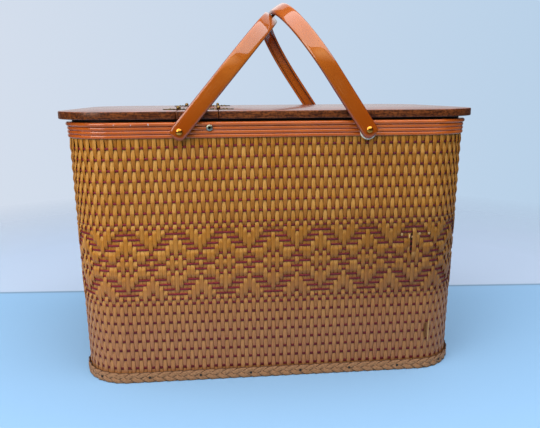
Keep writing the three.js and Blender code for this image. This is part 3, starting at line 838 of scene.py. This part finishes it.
def half_round(low, height, proud, steps):
    """Points of a rib that swells out of the band's sheet, from below to above."""
    rib = []
    for i in range(steps):
        turn = math.pi * (i + 0.5) / steps
        out = BAND_VALLEY + (proud - BAND_VALLEY) * math.sin(turn)
        rib.append((out, low + height * (1 - math.cos(turn)) / 2))
    return rib


def band_section():
    """The rolled section, from the foot over the ribs and the bead and in over the splint ends."""
    top = band_top - BAND_DROP
    under = top - BAND_SHEET
    pitch = (top - band_foot - BEAD_HEIGHT) / RIB_COUNT
    section = [(BAND_SEAT, band_foot)]
    for rib in range(RIB_COUNT):
        section += half_round(band_foot + rib * pitch, pitch, RIB_PROUD, RIB_STEPS)
    section += half_round(top - BEAD_HEIGHT, BEAD_HEIGHT, BEAD_PROUD, BEAD_STEPS)
    return section + [(BAND_SEAT, top), (BAND_FOLD, top), (BAND_FOLD, under), (BAND_SEAT, under)]


def enamel_finish(name, tones, gloss, wear_and_shade):
    """Glossy copper-brown enamel, a little uneven, with fine specks and a piece's own wear and painted shade.
    """
    finish = new_finish(name, specular=0.1, coat=gloss)
    cloud = grain_noise(finish, stretch=(22.0, 22.0, 22.0), detail=3.0)
    ripple = grain_noise(finish, stretch=(160.0, 160.0, 160.0), detail=2.0)
    speck = grain_noise(finish, stretch=SPECK_SCALE, detail=2.0)
    colour = ramp(finish, cloud, places=(0.3, 0.7), colours=tones)
    colour = mixed(finish, remapped(finish, speck, *SPECK_LEVELS), colour, SPECK)
    return finished(
        finish, wear_and_shade(finish, colour), ripple, dent=(0.01, 0.0005), rough=(0.12, 0.24), span=(0.2, 0.8),
        polish=cloud)


def band_chips_and_shade(finish, colour):
    """Bare metal where the bead is chipped, and painted shade in the grooves between the ribs and on the
    fold.
    """
    speck = grain_noise(finish, stretch=SPECK_SCALE, detail=2.0)
    for x in CHIP_PLACES:
        place = (x, -RIM_HALF_Y - BEAD_PROUD, chip_height)
        reach = add_node(finish, "ShaderNodeVectorMath", own_place(finish), place, operation="DISTANCE")
        frayed = maths(finish, "MULTIPLY_ADD", speck, CHIP_FRAY, reach.outputs["Value"])
        colour = mixed(finish, remapped(finish, frayed, *CHIP_EDGE), colour, CHIP_METAL)
    # Painted shade in the grooves and on the fold.
    groove_shade = remapped(finish, part_of(finish, "Z", "strip"), *GROOVE_SHADE_DEPTHS, to_low=1.0, to_high=0.0)
    return mixed(finish, groove_shade, colour, BAND_GROOVE_SHADE)


band_enamel = enamel_finish("band_enamel", BAND_ENAMEL, BAND_GLOSS, band_chips_and_shade)
band = ring_piece("rolled_band", band_section(), band_enamel, sharp_degrees=70)
fixed(band, "basket", "enamel", "rim_band")

# Lid boards: one stained board with round corners, sawn into a short flap, a fixed bar and a long
# flap, so that the grain runs on from board to board. It is varnished glossy on top; its edges are
# rounded over and dull.
LID_CORNER = 0.068
LID_ROUND = 0.0010
CORNER_STEPS = 28
TOP_STAIN = ((0.155, 0.027, 0.006), (0.245, 0.045, 0.009), (0.345, 0.076, 0.018))
TOP_PORES = (0.50, 0.44, 0.40)
TOP_GLOSS = 0.9
EDGE_STAIN = ((0.104, 0.023, 0.005), (0.182, 0.047, 0.010), (0.250, 0.076, 0.021))
EDGE_PORES = (0.34, 0.28, 0.24)
EDGE_GLOSS = 0.1
lid_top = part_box("lid_bar")[1][2]


def stained_finish(name, stain, pores, gloss):
    """Dark stained wood with fine pores and a broad figure along the lid, under a varnish."""
    finish = new_finish(name, specular=0.25, coat=gloss, coat_roughness=0.18)
    figure = grain_noise(finish, stretch=(26.0, 150.0, 110.0), detail=6.0)
    mottle = grain_noise(finish, stretch=(420.0, 700.0, 520.0), detail=3.0)
    pore = grain_noise(finish, stretch=(70.0, 900.0, 900.0), detail=3.0)
    colour = ramp(finish, figure, places=(0.20, 0.48, 0.80), colours=stain)
    for layer in (pore, mottle):
        colour = tinted(finish, colour, ramp(finish, layer, places=(0.36, 0.58), colours=(pores, WHITE)))
    return finished(finish, colour, pore, dent=(0.18, 0.0002), rough=(0.42, 0.26), span=(0.2, 0.8))


def bar_outline():
    """The bar's four corners."""
    low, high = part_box("lid_bar")
    return [(low[0], low[1]), (high[0], low[1]), (high[0], high[1]), (low[0], high[1])]


def flap_outline(node, side):
    """A flap from its sawn edge round its two corners; side is 1 for the left flap, -1 for the right."""
    low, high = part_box(node)
    sawn, outer = (high[0], low[0]) if side > 0 else (low[0], high[0])
    outline = [(sawn, -side * high[1]), (sawn, side * high[1])]
    for turn, row in ((0, side), (1, -side)):
        for i in range(CORNER_STEPS + 1):
            angle = math.radians(180 - 90 * side + 90 * turn + 90 * i / CORNER_STEPS)
            outline.append((outer + LID_CORNER * (side + math.cos(angle)),
                            row * (high[1] - LID_CORNER) + LID_CORNER * math.sin(angle)))
    return outline


def board_piece(name, node, outline, top_finish, edge_finish):
    """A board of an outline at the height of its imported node, rounded over and glossy only on top."""
    low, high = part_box(node)
    shape = bmesh.new()
    base = shape.faces.new([shape.verts.new((x, y, low[2])) for x, y in outline])
    sides = bmesh.ops.extrude_face_region(shape, geom=[base])
    risen = [v for v in sides["geom"] if isinstance(v, bmesh.types.BMVert)]
    bmesh.ops.translate(shape, verts=risen, vec=(0.0, 0.0, high[2] - low[2]))
    piece = shaped_piece(name, shape, edge_finish, top_finish, sharp_degrees=30)
    bevel = piece.modifiers.new("rounded edges", "BEVEL")
    bevel.width = LID_ROUND
    bevel.segments = 3
    bevel.limit_method = "ANGLE"
    bevel.angle_limit = math.radians(40)
    plain_result(piece)
    for face in piece.data.polygons:
        face.material_index = int(face.normal.z > 0.5)
    return smooth_shaded(piece, sharp_degrees=30)


top_stain = stained_finish("stained_top", TOP_STAIN, TOP_PORES, TOP_GLOSS)
edge_stain = stained_finish("stained_edge", EDGE_STAIN, EDGE_PORES, EDGE_GLOSS)
for name, node, outline, body in (
        ("short_flap_board", "left_flap", flap_outline("left_flap", 1), "left_flap"),
        ("long_flap_board", "right_flap", flap_outline("right_flap", -1), "right_flap"),
        ("bar_board", "lid_bar", bar_outline(), "basket")):
    fixed(board_piece(name, node, outline, top_stain, edge_stain), body, "lid_wood", node)

# Bar cleats: two blocks of sawn softwood, the grain across the basket, glued under the bar inside
# the hoop. They take the screws that hold the bar to the rim.
CLEAT_WOOD = ((0.33, 0.20, 0.09), (0.50, 0.35, 0.18))

cleat_wood = plain_finish(
    "cleat_wood", stretch=(300.0, 14.0, 300.0), detail=5.0, places=(0.3, 0.65), tones=CLEAT_WOOD,
    dent=(0.4, 0.0003), rough=(0.5, 0.7))
for row in ("front", "rear"):
    dress(f"bar_cleat_{row}", cleat_wood)

# Bar screws: bright pan-head screws with a cross recess, one at each side through band, wall and
# hoop into the cleat.
SCREW_HEAD = 0.0038
SCREW_RISE = 0.0022
SCREW_SHANK = 0.0019
SCREW_TAPER = SCREW_SHANK * 0.9
SCREW_POINT = 0.004
SCREW_RIM = SCREW_RISE * 0.3
SCREW_BLUNT = 0.7
SCREW_STEPS = 8
# Grime and painted shade round the screw's seat and in its cross recess.
SEAT_SHADE_REACH = SCREW_RISE * 0.2
RECESS_DEPTH = 0.0016
RECESS_ARM = 0.0025
RECESS_WIDTH = 0.0012
RECESS_TURN = 0.4
RECESS_TAPER = ((-RECESS_DEPTH, 0.35), (SCREW_RISE, 1.25))
STEEL = ((0.17, 0.18, 0.13), (0.40, 0.42, 0.33))
GRIME_AND_SHADE = ((0.010, 0.009, 0.007), (0.035, 0.030, 0.022))
TURNED_STEPS = 36


def turned_seat(node):
    """A turned node's middle across, its side of the basket, and its inner and outer end from Y = 0."""
    low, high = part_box(node)
    centre = ((low[0] + high[0]) / 2, (low[2] + high[2]) / 2)
    if high[1] < 0:
        return centre, -1.0, -high[1], -low[1]
    return centre, 1.0, low[1], high[1]


def turned_piece(name, profile, centre, side, finish):
    """A piece turned about Y from (radius, outward) points, at the front or rear of the basket."""
    shape = bmesh.new()
    rings = []
    for radius, out in profile:
        ring = []
        for i in range(TURNED_STEPS):
            angle = 2 * math.pi * i / TURNED_STEPS
            x, z = centre[0] + radius * math.cos(angle), centre[1] + radius * math.sin(angle)
            ring.append(shape.verts.new((x, side * out, z)))
        rings.append(ring)
    if profile[0][0] > 0:
        rings.append(rings[0])
    skin(shape, rings)
    return shaped_piece(name, shape, finish, sharp_degrees=40)


def dome(radius, low, high, steps, power=1.0):
    """Profile points of a dome from its rim up to its crown."""
    angles = [math.pi / 2 * i / steps for i in range(steps + 1)]
    return [(radius * math.cos(angle) ** power, low + (high - low) * math.sin(angle)) for angle in angles]


def metal_finish(name, tones, roughness, scale, metallic=1.0):
    """Worn metal: bright where it is handled, dark in its patches."""
    return plain_finish(
        name, stretch=(scale, scale, scale), detail=4.0, places=(0.32, 0.60), tones=tones,
        dent=(0.08, 0.0003), rough=(roughness + 0.15, roughness), span=(0.3, 0.7), metallic=metallic)


def cross_cutter(centre, out, side, finish):
    """A cross-shaped cutter that tapers to a point inside a screw head."""
    shape = bmesh.new()
    for turn in (RECESS_TURN, RECESS_TURN + math.pi / 2):
        corners = []
        for depth, share in RECESS_TAPER:
            for u, v in ((-1, -1), (1, -1), (1, 1), (-1, 1)):
                a, b = u * RECESS_ARM * share, v * RECESS_WIDTH / 2
                x = a * math.cos(turn) - b * math.sin(turn)
                z = a * math.sin(turn) + b * math.cos(turn)
                corners.append(shape.verts.new((centre[0] + x, side * (out + depth), centre[1] + z)))
        bmesh.ops.convex_hull(shape, input=corners)
    return shaped_piece("cross_cutter", shape, finish, sharp_degrees=40)


def screw_piece(row, finish, grime_and_shade):
    """One pan-head screw with dark grime and painted shade in its cross recess and round its seat."""
    centre, side, point, crown = turned_seat(f"bar_screw_{row}")
    seat = crown - SCREW_RISE
    profile = [
        (0.0, point), (SCREW_TAPER, point + SCREW_POINT), (SCREW_SHANK, seat), (SCREW_HEAD, seat)]
    profile += dome(SCREW_HEAD, seat + SCREW_RIM, crown, SCREW_STEPS, SCREW_BLUNT)
    piece = turned_piece(f"cross_screw_{row}", profile, centre, side, finish)
    cutter = cross_cutter(centre, crown, side, grime_and_shade)
    cut = piece.modifiers.new("cross recess", "BOOLEAN")
    cut.object = cutter
    cut.operation = "DIFFERENCE"
    cut.use_self = True
    cut.material_mode = "TRANSFER"
    plain_result(piece)
    bpy.data.objects.remove(cutter)
    # Grime and painted shade round the seat.
    for face in piece.data.polygons:
        if abs(abs(face.center.y) - seat) < SEAT_SHADE_REACH:
            face.material_index = piece.data.materials.find(grime_and_shade.name)
    return smooth_shaded(piece, sharp_degrees=40)


steel = metal_finish("bright_steel", STEEL, roughness=0.28, scale=500.0)
grime_and_shade = metal_finish("grime_and_painted_shade", GRIME_AND_SHADE, roughness=0.75, scale=900.0)
for row in ("front", "rear"):
    fixed(screw_piece(row, steel, grime_and_shade), "basket", "steel", f"bar_screw_{row}")

# Hinges: small ornate hinges of stamped brass, gone dark, rubbed golden on their knuckles.
# Each leaf is held by three round-headed tacks; ball ends keep the pin in its knuckles.
TACK_RADIUS = 0.0011
TACK_RISE = 0.0007
TACK_SPOTS = ((0.0062, 0.0), (0.0104, 0.0052), (0.0104, -0.0052))
TACK_HEIGHT = lid_top + 0.0010
RUBBED_HEIGHTS = (lid_top + 0.0012, lid_top + 0.0046)
PATINA = (0.022, 0.019, 0.013)
BRASS_DULL = (0.30, 0.21, 0.075)
BRASS_RUBBED = (0.48, 0.27, 0.065)
joint_places = {joint["child"]: joint["pos_m"] for joint in frame["joints"]}


def hinge_finish():
    """Stamped brass gone nearly black in patches, golden where the knuckles are rubbed."""
    finish = new_finish("dark_brass", metallic=1.0)
    patch = grain_noise(finish, stretch=(330.0, 330.0, 330.0), detail=4.0)
    dull = ramp(finish, patch, places=(0.40, 0.66), colours=(PATINA, BRASS_DULL))
    bright = ramp(finish, patch, places=(0.30, 0.58), colours=(BRASS_DULL, BRASS_RUBBED))
    colour = mixed(finish, remapped(finish, part_of(finish, "Z"), *RUBBED_HEIGHTS), dull, bright)
    return finished(finish, colour, patch, dent=(0.25, 0.0003), rough=(0.5, 0.28), span=(0.3, 0.7))


def smooth_copy(name, node, finish):
    """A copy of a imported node, shaded smooth between its edges."""
    shape = bmesh.new()
    shape.from_mesh(frame["nodes"][node].data)
    return shaped_piece(name, shape, finish, sharp_degrees=35)


dark_brass = hinge_finish()
tack_spots = {"basket": [], "left_flap": [], "right_flap": []}
for side, flap_side in (("left", -1.0), ("right", 1.0)):
    for row in ("front", "rear"):
        hinge = f"{side}_hinge_{row}"
        pin_low, pin_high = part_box(f"{hinge}_pin")
        middle = (pin_low[1] + pin_high[1]) / 2
        pivot_x = joint_places[f"{side}_flap"][0]
        for leaf, body, way in (("bar_leaf", "basket", -flap_side), ("flap_leaf", f"{side}_flap", flap_side)):
            piece = smooth_copy(f"{hinge}_stamped_{leaf}", f"{hinge}_{leaf}", dark_brass)
            fixed(piece, body, "brass", f"{hinge}_{leaf}")
            for x, y in TACK_SPOTS:
                tack_spots[body].append(((pivot_x + way * x, middle + y, TACK_HEIGHT), (0.0, 0.0, 1.0)))
        pin = smooth_copy(f"{hinge}_ball_pin", f"{hinge}_pin", dark_brass)
        fixed(pin, "basket", "brass", f"{hinge}_pin")
for body, spots in tack_spots.items():
    fixed(tack_piece(f"{body}_hinge_tacks", spots, TACK_RADIUS, TACK_RISE, dark_brass), body, "brass")

# Handles: two arches of pressed steel channel, the face a little crowned and the edges turned in
# to lips, enamelled like the band. Their round ends swing on rivets and they lean together.
HANDLE_ARM = 0.176
HANDLE_BEND = 0.099
HANDLE_HALF = 0.0095
CHANNEL_DEPTH = 0.0048
CHANNEL_SHEET = 0.0012
LIP_WIDTH = 0.0017
END_BLUNT = 0.8
HANDLE_ENAMEL = ((0.335, 0.078, 0.007), (0.45, 0.122, 0.013))
HANDLE_GLOSS = 1.0
# Painted shade toward the ends and on the edges, and the top painted darker under its highlight.
HANDLE_END_SHADE = (0.28, 0.050, 0.001)
END_LENGTHS = (0.12, 0.01)
HANDLE_TOP_SHADE = (0.33, 0.072, 0.007)
TOP_SHADE_REACH = (0.145, 0.185)
HANDLE_EDGE_SHADE = (0.115, 0.014, 0.004)
EDGE_REACH = (HANDLE_HALF * 0.88, HANDLE_HALF * 0.97)
HANDLE_SCUFF = (0.55, 0.23, 0.08)
SCUFF_LEVELS = (0.60, 0.68)
RUBBED_LEVELS = (0.52, 0.62)
# Painted shade inside the channel.
CHANNEL_SHADE = (0.035, 0.008, 0.004)
LEFT_LEAN = 40.2
RIGHT_LEAN = -34.0
LEG_STEPS = 8
BEND_STEPS = 28
TOP_STEPS = 14
END_STEPS = 14
handle_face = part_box("left_handle")[1][1]
leg_length = HANDLE_ARM - HANDLE_BEND
bend_length = HANDLE_BEND * math.pi / 2
top_length = 2 * (handle_face - HANDLE_BEND)
face_length = 2 * leg_length + 2 * bend_length + top_length
end_reach = [face_length / 2 - length for length in END_LENGTHS]

# The channel's section from the middle of its face round to its inside: an inset as a share of half
# the width, a length added to it, depth and painted shade.
CHANNEL_LIP = LIP_WIDTH + CHANNEL_SHEET
CHANNEL_SECTION = (
    (1.0, 0.0, 0.0, 0.0), (0.80, 0.0, 0.00003, 0.0), (0.60, 0.0, 0.00010, 0.0),
    (0.42, 0.0, 0.00021, 0.0), (0.28, 0.0, 0.00038, 0.0), (0.17, 0.0, 0.00064, 0.0),
    (0.09, 0.0, 0.00100, 0.0), (0.04, 0.0, 0.00140, 0.0), (0.01, 0.0, 0.0018, 0.0),
    (0.0, 0.0, 0.0022, 0.0), (0.0, 0.0, CHANNEL_DEPTH - 0.0004, 0.0),
    (0.0, 0.0001, CHANNEL_DEPTH - 0.0001, 0.0), (0.0, 0.0004, CHANNEL_DEPTH, 0.0),
    (0.0, CHANNEL_LIP, CHANNEL_DEPTH, 0.0), (0.0, CHANNEL_LIP, CHANNEL_DEPTH - CHANNEL_SHEET, 1.0),
    (0.0, CHANNEL_SHEET, CHANNEL_DEPTH - CHANNEL_SHEET, 1.0),
    (0.0, CHANNEL_SHEET, CHANNEL_SHEET + 0.0020, 1.0), (0.25, 0.0, CHANNEL_SHEET + 0.0009, 1.0),
    (0.38, 0.0, CHANNEL_SHEET + 0.0005, 0.8), (0.55, 0.0, CHANNEL_SHEET + 0.0002, 0.1),
    (1.0, 0.0, CHANNEL_SHEET, 0.0),
)


def arch_point(along, across, depth):
    """A point of an upright handle, from its place along the face, across it and below it."""
    reach = handle_face - HANDLE_BEND
    mirror = 1.0 if along > face_length / 2 else -1.0
    left = along if mirror < 0 else face_length - along
    if left < leg_length:
        y, z, ny, nz = handle_face, left, 1.0, 0.0
    elif left < leg_length + bend_length:
        angle = (left - leg_length) / HANDLE_BEND
        ny, nz = math.cos(angle), math.sin(angle)
        y, z = reach + HANDLE_BEND * ny, leg_length + HANDLE_BEND * nz
    else:
        y, z, ny, nz = face_length / 2 - left, HANDLE_ARM, 0.0, 1.0
    return Vector((across, mirror * (y - ny * depth), z - nz * depth))


def face_outline(inset):
    """The outline of the channel's face, flat and drawn in by an inset, as (along, across) points."""
    half = HANDLE_HALF - inset
    stops = []
    place = 0.0
    for length, steps in (
            (leg_length, LEG_STEPS), (bend_length, BEND_STEPS), (top_length, TOP_STEPS),
            (bend_length, BEND_STEPS), (leg_length, LEG_STEPS)):
        stops += [place + length * i / steps for i in range(steps)]
        place += length
    stops.append(face_length)
    blunt = []
    for i in range(1, END_STEPS):
        across, reach = math.cos(math.pi * i / END_STEPS), math.sin(math.pi * i / END_STEPS)
        blunt.append((half * reach ** END_BLUNT, math.copysign(half * abs(across) ** END_BLUNT, across)))
    outline = [(along, half) for along in stops]
    outline += [(face_length + reach, across) for reach, across in blunt]
    outline += [(along, -half) for along in reversed(stops)]
    outline += [(-reach, -across) for reach, across in blunt]
    return outline


def handle_piece(name, lean, pivot, finish):
    """One pressed channel handle, leaning about its pivot."""
    shape = bmesh.new()
    strip = shape.verts.layers.float_vector.new("strip")
    painted_shade = shape.verts.layers.float.new("painted_shade")
    turn = Matrix.Rotation(math.radians(lean), 3, "Y")
    rings = []
    for share, length, depth, shaded in CHANNEL_SECTION:
        ring = []
        for along, across in face_outline(HANDLE_HALF * share + length):
            vert = shape.verts.new(turn @ arch_point(along, across, depth) + pivot)
            vert[strip] = (along, across, depth)
            vert[painted_shade] = shaded
            ring.append(vert)
        rings.append(ring)
    skin(shape, rings)
    return shaped_piece(name, shape, finish, sharp_degrees=45)


def handle_shade_and_scuffs(finish, colour):
    """Deeper enamel as painted shade toward the ends, a top painted darker under its highlight, painted shade
    on the edges and in the channel, fine scuffs lengthwise.
    """
    apart = maths(finish, "SUBTRACT", part_of(finish, "X", "strip"), face_length / 2)
    apart = maths(finish, "ABSOLUTE", apart)
    across = maths(finish, "ABSOLUTE", part_of(finish, "Y", "strip"))
    scuff = grain_noise(finish, stretch=(45.0, 2600.0, 0.0), detail=3.0, attribute="strip")
    scuff = remapped(finish, scuff, *SCUFF_LEVELS)
    rubbed = grain_noise(finish, stretch=(26.0, 90.0, 0.0), detail=2.0, attribute="strip")
    rubbed = remapped(finish, rubbed, *RUBBED_LEVELS, to_high=0.6)
    # Painted shade at the ends, the top, the edges and in the channel; the scuffs are wear.
    for share, tone in (
            (remapped(finish, apart, *end_reach), HANDLE_END_SHADE),
            (remapped(finish, apart, *TOP_SHADE_REACH, to_low=0.9, to_high=0.0), HANDLE_TOP_SHADE),
            (remapped(finish, across, *EDGE_REACH, to_high=0.85), HANDLE_EDGE_SHADE),
            (level_of(finish, "painted_shade"), CHANNEL_SHADE),
            (maths(finish, "MULTIPLY", scuff, rubbed), HANDLE_SCUFF)):
        colour = mixed(finish, share, colour, tone)
    return colour


handle_enamel = enamel_finish("handle_enamel", HANDLE_ENAMEL, HANDLE_GLOSS, handle_shade_and_scuffs)
for side, lean in (("left", LEFT_LEAN), ("right", RIGHT_LEAN)):
    pivot = Vector(joint_places[f"{side}_handle"])
    handle = handle_piece(f"{side}_arch", lean, pivot, handle_enamel)
    fixed(handle, f"{side}_handle", "enamel", f"{side}_handle")

# Pivots: a brass rivet with a domed head through each handle end, over a pale zinc washer.
# The right washers are larger and hang slack, so that they show below the handle.
RIVET_SHANK = 0.0022
RIVET_HEAD = 0.00395
RIVET_UNDER = RIVET_HEAD * 0.97
RIVET_DOME = 0.0026
RIVET_STEPS = 9
RIVET_TAIL = 0.0046
RIVET_TAIL_END = RIVET_TAIL * 0.8
RIVET_EASE = 0.0003
RIVET_TAIL_HEIGHTS = (0.001, 0.0016)
WASHER_EDGE = 0.0003
WASHER_EYE = {"left": 0.00255, "right": 0.00445}
RIVET_BRASS = ((0.40, 0.13, 0.016), (0.80, 0.33, 0.05))
ZINC = ((0.62, 0.55, 0.42), (0.86, 0.79, 0.64))


def rivet_piece(name, node, finish):
    """A rivet with a domed head outside, a shank and a spread tail inside."""
    centre, side, tail, crown = turned_seat(node)
    seat = crown - RIVET_DOME
    swell, shoulder = (tail + height for height in RIVET_TAIL_HEIGHTS)
    profile = [
        (0.0, tail), (RIVET_TAIL_END, tail + RIVET_EASE), (RIVET_TAIL, swell), (RIVET_TAIL, shoulder),
        (RIVET_SHANK, shoulder), (RIVET_SHANK, seat), (RIVET_UNDER, seat)]
    profile += dome(RIVET_HEAD, seat + RIVET_EASE, crown, RIVET_STEPS)
    return turned_piece(name, profile, centre, side, finish)


def washer_piece(name, node, eye, finish):
    """A flat washer with eased edges."""
    centre, side, near, far = turned_seat(node)
    low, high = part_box(node)
    rim = (high[0] - low[0]) / 2
    edge = WASHER_EDGE
    profile = [
        (eye, near + edge), (eye, far - edge), (eye + edge, far), (rim - edge, far), (rim, far - edge),
        (rim, near + edge), (rim - edge, near), (eye + edge, near)]
    return turned_piece(name, profile, centre, side, finish)


rivet_brass = metal_finish("rivet_brass", RIVET_BRASS, roughness=0.16, scale=260.0)
zinc = metal_finish("pale_zinc", ZINC, roughness=0.42, scale=300.0, metallic=0.0)
for side in ("left", "right"):
    for row in ("front", "rear"):
        rivet = rivet_piece(f"{side}_domed_rivet_{row}", f"{side}_rivet_{row}", rivet_brass)
        fixed(rivet, "basket", "brass", f"{side}_rivet_{row}")
        washer = washer_piece(f"{side}_zinc_washer_{row}", f"{side}_washer_{row}", WASHER_EYE[side], zinc)
        fixed(washer, "basket", "washer", f"{side}_washer_{row}")

# Stage: a plain pale blue floor that pales and fades out away from the basket, under one broad soft
# panel overhead, with one lamp before it at the left and one behind. The room is dim and its back is
# pale; at the front a warm light stands above the camera, which the enamel mirrors.
FLOOR_RADIUS = 1.3
FLOOR_FADE = 0.52
FLOOR_EDGE = 0.1693
FLOOR_SLANT = 0.0651
FLOOR_BLUE = (0.22, 0.37, 0.56)
FLOOR_WHITE = (0.365, 0.44, 0.57)
# A painted shadow along the crease.
FLOOR_CREASE_SHADE = (0.13, 0.21, 0.30)
EDGE_BLEND = (FLOOR_EDGE - 0.001, FLOOR_EDGE + 0.003)
CREASE_HALF = 0.006
ROOM_LOW = (0.20, 0.21, 0.22)
ROOM_HIGH = (0.28, 0.29, 0.30)
WALL_LEFT = (0.66, 0.73, 0.84)
WALL_RIGHT = (0.49, 0.64, 0.81)
SIDE_WALL = (0.05, 0.05, 0.06)
MIRROR_BACK = (0.66, 0.68, 0.72)
FRONT_GOLD = (3.5, 2.9, 1.7)
ROOM_RISE = (0.2, 0.6)
BACK_DEPTHS = (0.75, 0.95)
GOLD_DEPTHS = (-0.78, -0.88)
GOLD_RISE = (0.28, 0.58)
WALL_SPAN = (-0.35, 0.5)


def stage_floor():
    """A round floor, blue before and under the basket, pale behind a painted crease shadow, that fades out at
    its edge.
    """
    finish = new_finish("pale_paper", specular=0.0)
    depth = maths(finish, "MULTIPLY_ADD", part_of(finish, "X"), FLOOR_SLANT, part_of(finish, "Y"))
    behind = remapped(finish, depth, *EDGE_BLEND)
    # A painted shadow along the crease.
    before = remapped(finish, depth, FLOOR_EDGE - CREASE_HALF, FLOOR_EDGE)
    after = remapped(finish, depth, FLOOR_EDGE, FLOOR_EDGE + CREASE_HALF, to_low=1.0, to_high=0.0)
    colour = mixed(finish, behind, FLOOR_BLUE, FLOOR_WHITE)
    colour = mixed(finish, maths(finish, "MULTIPLY", before, after), colour, FLOOR_CREASE_SHADE)
    reach = add_node(finish, "ShaderNodeVectorMath", own_place(finish), operation="LENGTH").outputs["Value"]
    fade = remapped(finish, reach, FLOOR_RADIUS * FLOOR_FADE, FLOOR_RADIUS, to_low=1.0, to_high=0.0)
    finish.node_tree.links.new(colour, shader_inputs(finish)["Base Color"])
    finish.node_tree.links.new(fade, shader_inputs(finish)["Alpha"])
    shape = bmesh.new()
    bmesh.ops.create_circle(shape, cap_ends=True, segments=96, radius=FLOOR_RADIUS)
    return shaped_piece("floor", shape, finish, sharp_degrees=30)


stage_floor()


def soft_lamp(name, place, aim, width, height, watts, colour):
    """An oblong lamp turned toward a point."""
    data = bpy.data.lights.new(name, "AREA")
    data.shape = "RECTANGLE"
    data.size = width
    data.size_y = height
    data.energy = watts
    data.color = colour
    lamp = linked_object(name, data)
    lamp.location = place
    lamp.rotation_euler = (Vector(aim) - Vector(place)).to_track_quat("-Z", "Y").to_euler()


def room_light():
    """A world that lights the basket dimly, brighter overhead, and shows a pale wall behind it."""
    world = bpy.data.worlds.new("pale_room")
    world.use_nodes = True
    way = add_node(world, "ShaderNodeTexCoord").outputs["Generated"]
    way = add_node(world, "ShaderNodeSeparateXYZ", way).outputs
    path = add_node(world, "ShaderNodeLightPath").outputs
    room = mixed(world, remapped(world, way["Z"], *ROOM_RISE), ROOM_LOW, ROOM_HIGH)
    mirrored = mixed(world, remapped(world, way["Y"], *BACK_DEPTHS), SIDE_WALL, MIRROR_BACK)
    colour = mixed(world, path["Is Glossy Ray"], room, mirrored)
    front = remapped(world, way["Y"], *GOLD_DEPTHS)
    gold = maths(world, "MULTIPLY", front, remapped(world, way["Z"], *GOLD_RISE))
    colour = mixed(world, gold, colour, FRONT_GOLD)
    wall = mixed(world, remapped(world, way["X"], *WALL_SPAN), WALL_LEFT, WALL_RIGHT)
    colour = mixed(world, path["Is Camera Ray"], colour, wall)
    world.node_tree.links.new(colour, world.node_tree.nodes["Background"].inputs["Color"])
    return world


soft_lamp(
    "panel_lamp", place=(-0.25, -0.75, 1.75), aim=(-0.25, -0.75, 0.0), width=3.9, height=2.4,
    watts=99.0, colour=(0.95, 0.98, 1.0))
soft_lamp(
    "left_lamp", place=(-1.15, -1.15, 0.80), aim=(0.0, -0.1, 0.25), width=0.9, height=0.8,
    watts=11.0, colour=(1.0, 0.95, 0.87))
soft_lamp(
    "back_lamp", place=(0.7, 2.4, 2.3), aim=(0.0, 0.0, 0.2), width=3.2, height=2.0,
    watts=13.0, colour=(0.97, 0.98, 1.0))
bpy.context.scene.world = room_light()
bpy.context.scene.view_settings.view_transform = "Standard"
